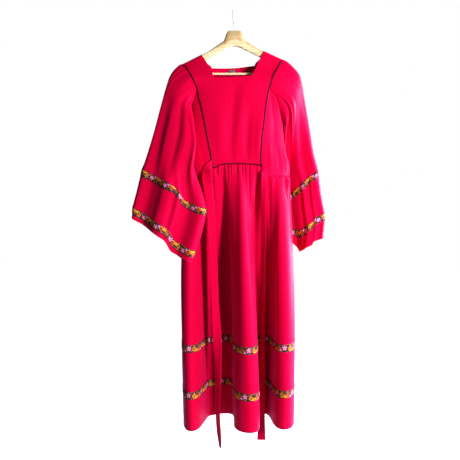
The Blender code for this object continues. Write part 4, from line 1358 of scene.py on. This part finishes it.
def ribbon(name, rows, normals, node, flip=False):
    """A ribbon of print on closed rows of the cloth, moved out to lie on it."""
    laid = rows + normals * RIBBON_OUT
    middle_row = laid[len(laid) // 2]
    u = np.concatenate([[0], np.cumsum(np.linalg.norm(np.diff(middle_row, axis=0), axis=1))])
    v = np.linspace(0.0, BAND_HIGH, len(laid))
    cloth_piece(name, [(laid, u, v)], PRINT, node, thick=RIBBON, flip=flip)


def between_rows(grid, at):
    """The row of a grid at a place between two of its rows."""
    k = min(int(at), len(grid) - 2)
    return grid[k] * (1 - (at - k)) + grid[k + 1] * (at - k)


for place, z in (("lower", BAND_LOWER_Z), ("upper", BAND_UPPER_Z)):
    step = (SIDE_WAIST_Z - HEM_Z) / skirt_rows
    edges = np.linspace(z - BAND_HIGH / 2, z + BAND_HIGH / 2, RIBBON_ROWS)
    rows = np.array([between_rows(ring, (edge - HEM_Z) / step) for edge in edges])
    out = np.array([between_rows(ring_normals, (edge - HEM_Z) / step) for edge in edges])
    ribbon(f"skirt_band_{place}_print", rows, out, f"skirt_band_{place}")

for label, rings, extra, way in (
    ("left", left_rings, left_extra, 1),
    ("right", right_rings, right_extra, -1),
):
    normals = grid_normals(rings, closed=True) * way
    for place, a, b in SLEEVE_BANDS:
        first, last = extra + a * STATION_STEPS, extra + b * STATION_STEPS
        ribbon(
            f"sleeve_{label}_band_{place}_print",
            rings[first : last + 1],
            normals[first : last + 1],
            f"sleeve_{label}_band_{place}",
            flip=way < 0,
        )


# Round pieces swept along a line

END_TURNS = np.radians([25, 50, 70, 84])


def swept(name, line, radius, sides, finish, node, reach=1.0):
    """A round rod or cord along a line, closed and softly rounded at its ends."""
    line = np.array(line, float)
    ways = np.gradient(line, axis=0)
    ways /= np.linalg.norm(ways, axis=1)[:, None]
    side = unit(np.cross(ways[0], np.array([0.3, 0.9, 0.2])))
    rows = []
    angles = np.linspace(0, 2 * math.pi, sides + 1)
    angles[-1] = 0.0
    for p, way in zip(line, ways):
        side = unit(side - way * float(side @ way))
        other = np.cross(way, side)
        rows.append(p + radius * (np.cos(angles)[:, None] * side + np.sin(angles)[:, None] * other))
    caps = []
    for centre, rim, tip in ((line[0], rows[0], -ways[0]), (line[-1], rows[-1], ways[-1])):
        out = tip * radius * reach
        caps.append([centre + (rim - centre) * math.cos(a) + out * math.sin(a) for a in END_TURNS])
    grid = np.array(caps[0][::-1] + rows + caps[1])
    u = np.linspace(0, 2 * math.pi * radius, sides + 1)
    closed_piece(name, grid, u, column_lengths(grid), sides + 1, finish, node)


# The piping is let a little into the seam.
PIPING_LET_IN = 0.2
PIPING_OUT = SHELL / 2 + PIPING_R * (1 - PIPING_LET_IN)
PIPING_SIDES = 12
PIPING_STEPS = 160
front_normals = grid_normals(front_main)
strap_left_normals = grid_normals(front_strap_left)
strap_right_normals = grid_normals(front_strap_right)


def seam_line(pairs):
    """A line of points along seams, moved out from the cloth. Pairs: points, normals."""
    out = []
    for points, normals in pairs:
        for p, n in zip(points, normals):
            q = p + n * PIPING_OUT
            if not out or np.linalg.norm(q - out[-1]) > 0.002:
                out.append(q)
    return even(smooth_line(out, 3), PIPING_STEPS)


strap_left_seam = (front_strap_left[1:-2, 0], strap_left_normals[1:-2, 0])
strap_right_seam = (front_strap_right[1:-2, -1], strap_right_normals[1:-2, -1])
for place, pairs in (
    ("left", [(front_main[:, 0], front_normals[:, 0]), strap_left_seam]),
    ("right", [(front_main[:, -1], front_normals[:, -1]), strap_right_seam]),
    ("waist", [(front_main[0, 3:-3], front_normals[0, 3:-3])]),
):
    name = f"piping_{place}"
    swept(name + "_cord", seam_line(pairs), PIPING_R, PIPING_SIDES, PIPING, name)


# The sashes
TIE_COLS = 10
TIE_ROOTS = 10
TIE_BOW_FROM = 14
TIE_BOW_WAVE = 21.0


def sash(name, table, root_up, root_lean, curl):
    """A sash that hangs from its seam and turns as it falls. Its root runs along the seam."""
    fine = smooth_line(table, 10)
    rows = []
    for k, (x, y, z, half, turned) in enumerate(fine):
        a = math.radians(turned)
        across = np.array([math.cos(a), math.sin(a), 0.0])
        if k < TIE_ROOTS:
            t = eased_in(k / TIE_ROOTS)
            across = unit(np.array([root_lean, 0.0, root_up]) * (1 - t) + across * t)
        facing = np.array([math.sin(a), -math.cos(a), 0.0])
        s = np.linspace(-1, 1, TIE_COLS + 1)[:, None]
        bow = curl * min(1.0, k / TIE_BOW_FROM) * math.sin(z * TIE_BOW_WAVE + 1.0)
        rows.append(np.array([x, y, z]) + across * half * s + facing * bow * (s * s - 0.4))
    grid = np.array(rows[::-1])
    cloth_piece(name + "_sash", [flat_map(grid)], CREPE, name, thick=SASH)


sash("tie_left", TIE_LEFT, -1.0, 0.128, 0.0016)
sash("tie_right", TIE_RIGHT, 1.0, 0.0, 0.0010)


# The bare label inside the back neck
LABEL_Y = BACK_STRAP[0][8] + 0.0025
LABEL_X = 0.002
LABEL_STEP = 0.0055
LABEL_LEVELS = (-0.224, -0.217, -0.210)
label_rows = [[(LABEL_X - LABEL_STEP * k, LABEL_Y, z) for k in range(5)] for z in LABEL_LEVELS]
label_map = flat_map(np.array(label_rows))
cloth_piece("neck_label_cloth", [label_map], LABEL, "neck_label", thick=LABEL_THICK)


# The hanger


def arm_profile(x, top, high, half):
    """Points round the arm where it is cut across: a flat face, and a slope above it."""
    face = min(top - 0.0032, FACE_TOP_Z - FACE_SLOPE * abs(x))
    face = max(face, top - high * 0.62)
    low = top - high
    soft = min(0.0040, high * 0.16)
    front = [(-half * 0.25, top), (-half * 0.50, top - soft * 0.25), (-half * 0.95, face)]
    front += [(-half, face - soft * 0.6), (-half, low + soft), (-half * 0.86, low + soft * 0.3)]
    front += [(-half * 0.5, low)]
    points = front + [(-y, z) for y, z in front[::-1]]
    return [(x, y, z) for y, z in points]


# The arms bend softly up to the place from which they run straight; the notch is one sharp step.
ARM_STRAIGHT_FROM = 0.135
NOTCH_WIDE = 0.002
sections = [(-d, left, high, half) for d, left, right, high, half in ARMS]
sections += [(d, right, high, half) for d, left, right, high, half in ARMS[-2::-1]]
fine_sections = []
for k in range(len(sections) - 1):
    a, b = np.array(sections[k]), np.array(sections[k + 1])
    p0 = np.array(sections[k - 1]) if k else a
    p3 = np.array(sections[k + 2]) if k + 2 < len(sections) else b
    apart = b[0] - a[0]
    count = 1 if apart < NOTCH_WIDE else 6
    for s in range(count):
        t = s / count
        now = a * (1 - t) + b * t
        if abs(a[0]) <= ARM_STRAIGHT_FROM:
            slope0 = (b - p0) / max(1e-6, b[0] - p0[0])
            slope1 = (p3 - a) / max(1e-6, p3[0] - a[0])
            now = (2 * t**3 - 3 * t**2 + 1) * a + (t**3 - 2 * t**2 + t) * apart * slope0
            now = now + (-2 * t**3 + 3 * t**2) * b + (t**3 - t**2) * apart * slope1
        fine_sections.append(now)
fine_sections.append(np.array(sections[-1]))
arm_rows = [np.array(arm_profile(*section)) for section in fine_sections]
arm_grid, arm_u, arm_v = flat_map(np.array([np.vstack([row, row[:1]]) for row in arm_rows]))
closed_piece("hanger_arms_wood", arm_grid, arm_u, arm_v, 40, ARM_WOOD_PAINTED_SHADE, "hanger_arms")

# The bar's ends are nearly flat.
BAR_REACH = 0.2
bar_end = BAR_HALF - BAR_R * BAR_REACH
bar_line = even([(-bar_end, 0.0, BAR_Z), (0.0, 0.0, BAR_Z), (bar_end, 0.0, BAR_Z)], 12)
swept("hanger_bar_wood", bar_line, BAR_R, 32, BAR_WOOD, "hanger_bar", reach=BAR_REACH)

# The hook stands edge-on to the front: a stem, then a round bend that comes over to the front.
hook_line = [(0.0, 0.0, HOOK_FOOT_Z), (-0.0012, 0.0, HOOK_FOOT_Z + 0.014)]
bend_z = -HOOK_BEND_R + HOOK_WIRE_R
for k in range(17):
    a = math.radians(-62 + 17.5 * k)
    hook_y = HOOK_BEND_R * math.cos(a)
    hook_z = bend_z + HOOK_BEND_R * math.sin(a)
    lean = -HANG_SHIFT * (hook_z - HOOK_FOOT_Z) / (-HOOK_FOOT_Z)
    hook_line.append((lean, hook_y, hook_z))
hook_line = smooth_line(hook_line, 6)
swept("hanger_hook_wire", hook_line, HOOK_WIRE_R, 20, WIRE, "hanger_hook")


# Floor, lights and camera
FLOOR_Z = -2.0
FLOOR_HALF = 7.0
GLOW_FROM = 0.45
GLOW_FULL = 0.72
GLOW_LEAST = 0.60


def pale_floor(name):
    """Pale paper that looks evenly lit, and white behind the dress."""
    paint = Paint(name)
    paint.set(Specular_IOR_Level=0.1, Roughness=0.9)
    soft = paint.noise(paint.placed("Object", (1.2, 1.2, 1.2)), 1.0, 2.0)
    paint.colour(paint.mixed(soft, (0.36, 0.36, 0.36), (0.40, 0.40, 0.40)))
    _, y, _ = paint.axes("Object")
    lit = (y * -1.0).soft_below(-(GLOW_FROM + GLOW_FULL) / 2, (GLOW_FULL - GLOW_FROM) / 2)
    paint.set(Emission_Color=(1.0, 1.0, 1.0, 1.0))
    seen = paint.tree.nodes.new("ShaderNodeLightPath")
    glow = (lit * (1.0 - GLOW_LEAST) + GLOW_LEAST) * Wire(paint.tree, seen.outputs["Is Camera Ray"])
    paint.tree.links.new(glow.socket, paint.shader.inputs["Emission Strength"])
    return paint.made


work = bmesh.new()
bmesh.ops.create_grid(work, x_segments=8, y_segments=8, size=FLOOR_HALF)
bmesh.ops.translate(work, vec=(0.0, 0.0, FLOOR_Z), verts=work.verts)
floor = finished(work, "floor", pale_floor("pale_paper"))
floor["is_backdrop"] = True


def soft_light(name, place, aim, wide, high, power, colour):
    """A large soft light that looks at a point."""
    data = bpy.data.lights.new(name, "AREA")
    data.shape = "RECTANGLE"
    data.size = wide
    data.size_y = high
    data.energy = power
    data.color = colour
    lamp = bpy.data.objects.new(name, data)
    lamp.location = place
    lamp.rotation_euler = (Vector(aim) - Vector(place)).to_track_quat("-Z", "Y").to_euler()
    bpy.context.scene.collection.objects.link(lamp)


# A window on the right lights the dress from the front, from the side and from behind, and the
# room lights it softly. Columns: name, place, what it looks at, width, height, watts, colour.
LIGHTS = [
    ("window_right", (1.55, -1.88, -0.25), (0.05, 0.0, -0.85), 0.45, 1.1, 138.0, (1.0, 0.90, 1.08)),
    ("window_side", (2.3, -0.2, -0.6), (0.10, 0.0, -0.80), 0.7, 1.3, 120.0, (1.0, 0.86, 1.30)),
    ("window_behind", (1.7, 0.95, -0.6), (0.25, 0.0, -0.80), 0.8, 1.4, 150.0, (1.0, 0.90, 1.3)),
    ("front_left", (-1.2, -2.7, 0.3), (0.0, 0.0, -0.75), 0.9, 0.9, 9.0, (1.0, 0.97, 0.96)),
    ("back_fill", (-0.6, 2.6, 0.4), (0.0, 0.0, -0.75), 1.6, 1.6, 36.0, (1.0, 0.98, 0.98)),
]
for light in LIGHTS:
    soft_light(*light)

# The room's air: white where it is seen, dim where it lights the cloth.
ROOM_DIM = 0.02
world = bpy.data.worlds.new("soft_room")
world.use_nodes = True
seen = world.node_tree.nodes.new("ShaderNodeLightPath")
share = world.node_tree.nodes.new("ShaderNodeMapRange")
share.inputs["To Min"].default_value = ROOM_DIM
share.inputs["To Max"].default_value = 1.0
world.node_tree.links.new(seen.outputs["Is Camera Ray"], share.inputs["Value"])
room = world.node_tree.nodes["Background"]
room.inputs["Color"].default_value = (1.0, 1.0, 1.0, 1.0)
world.node_tree.links.new(share.outputs["Result"], room.inputs["Strength"])
bpy.context.scene.world = world
bpy.context.scene.view_settings.view_transform = "Standard"

# The camera: the photograph's size in pixels, metres to a pixel at the dress, how far the eye is
# and how high, and the pixel straight in front of it.
PHOTO_SIZE = 460
PIXEL = 0.00365
EYE_FAR = 2.1
EYE_Z = -0.61
EYE_PIXEL = (234.5, 178.0)
SENSOR = 36.0
camera_data = bpy.data.cameras.new("camera")
camera_data.sensor_width = SENSOR
camera_data.lens = EYE_FAR / PIXEL / PHOTO_SIZE * SENSOR
camera_data.shift_x = (PHOTO_SIZE / 2 - EYE_PIXEL[0]) / PHOTO_SIZE
camera_data.shift_y = -(PHOTO_SIZE / 2 - EYE_PIXEL[1]) / PHOTO_SIZE
camera = bpy.data.objects.new("camera", camera_data)
camera.location = (HANG_SHIFT, -EYE_FAR, EYE_Z)
camera.rotation_euler = (math.radians(90), 0.0, 0.0)
bpy.context.scene.collection.objects.link(camera)
bpy.context.scene.camera = camera

low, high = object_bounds()
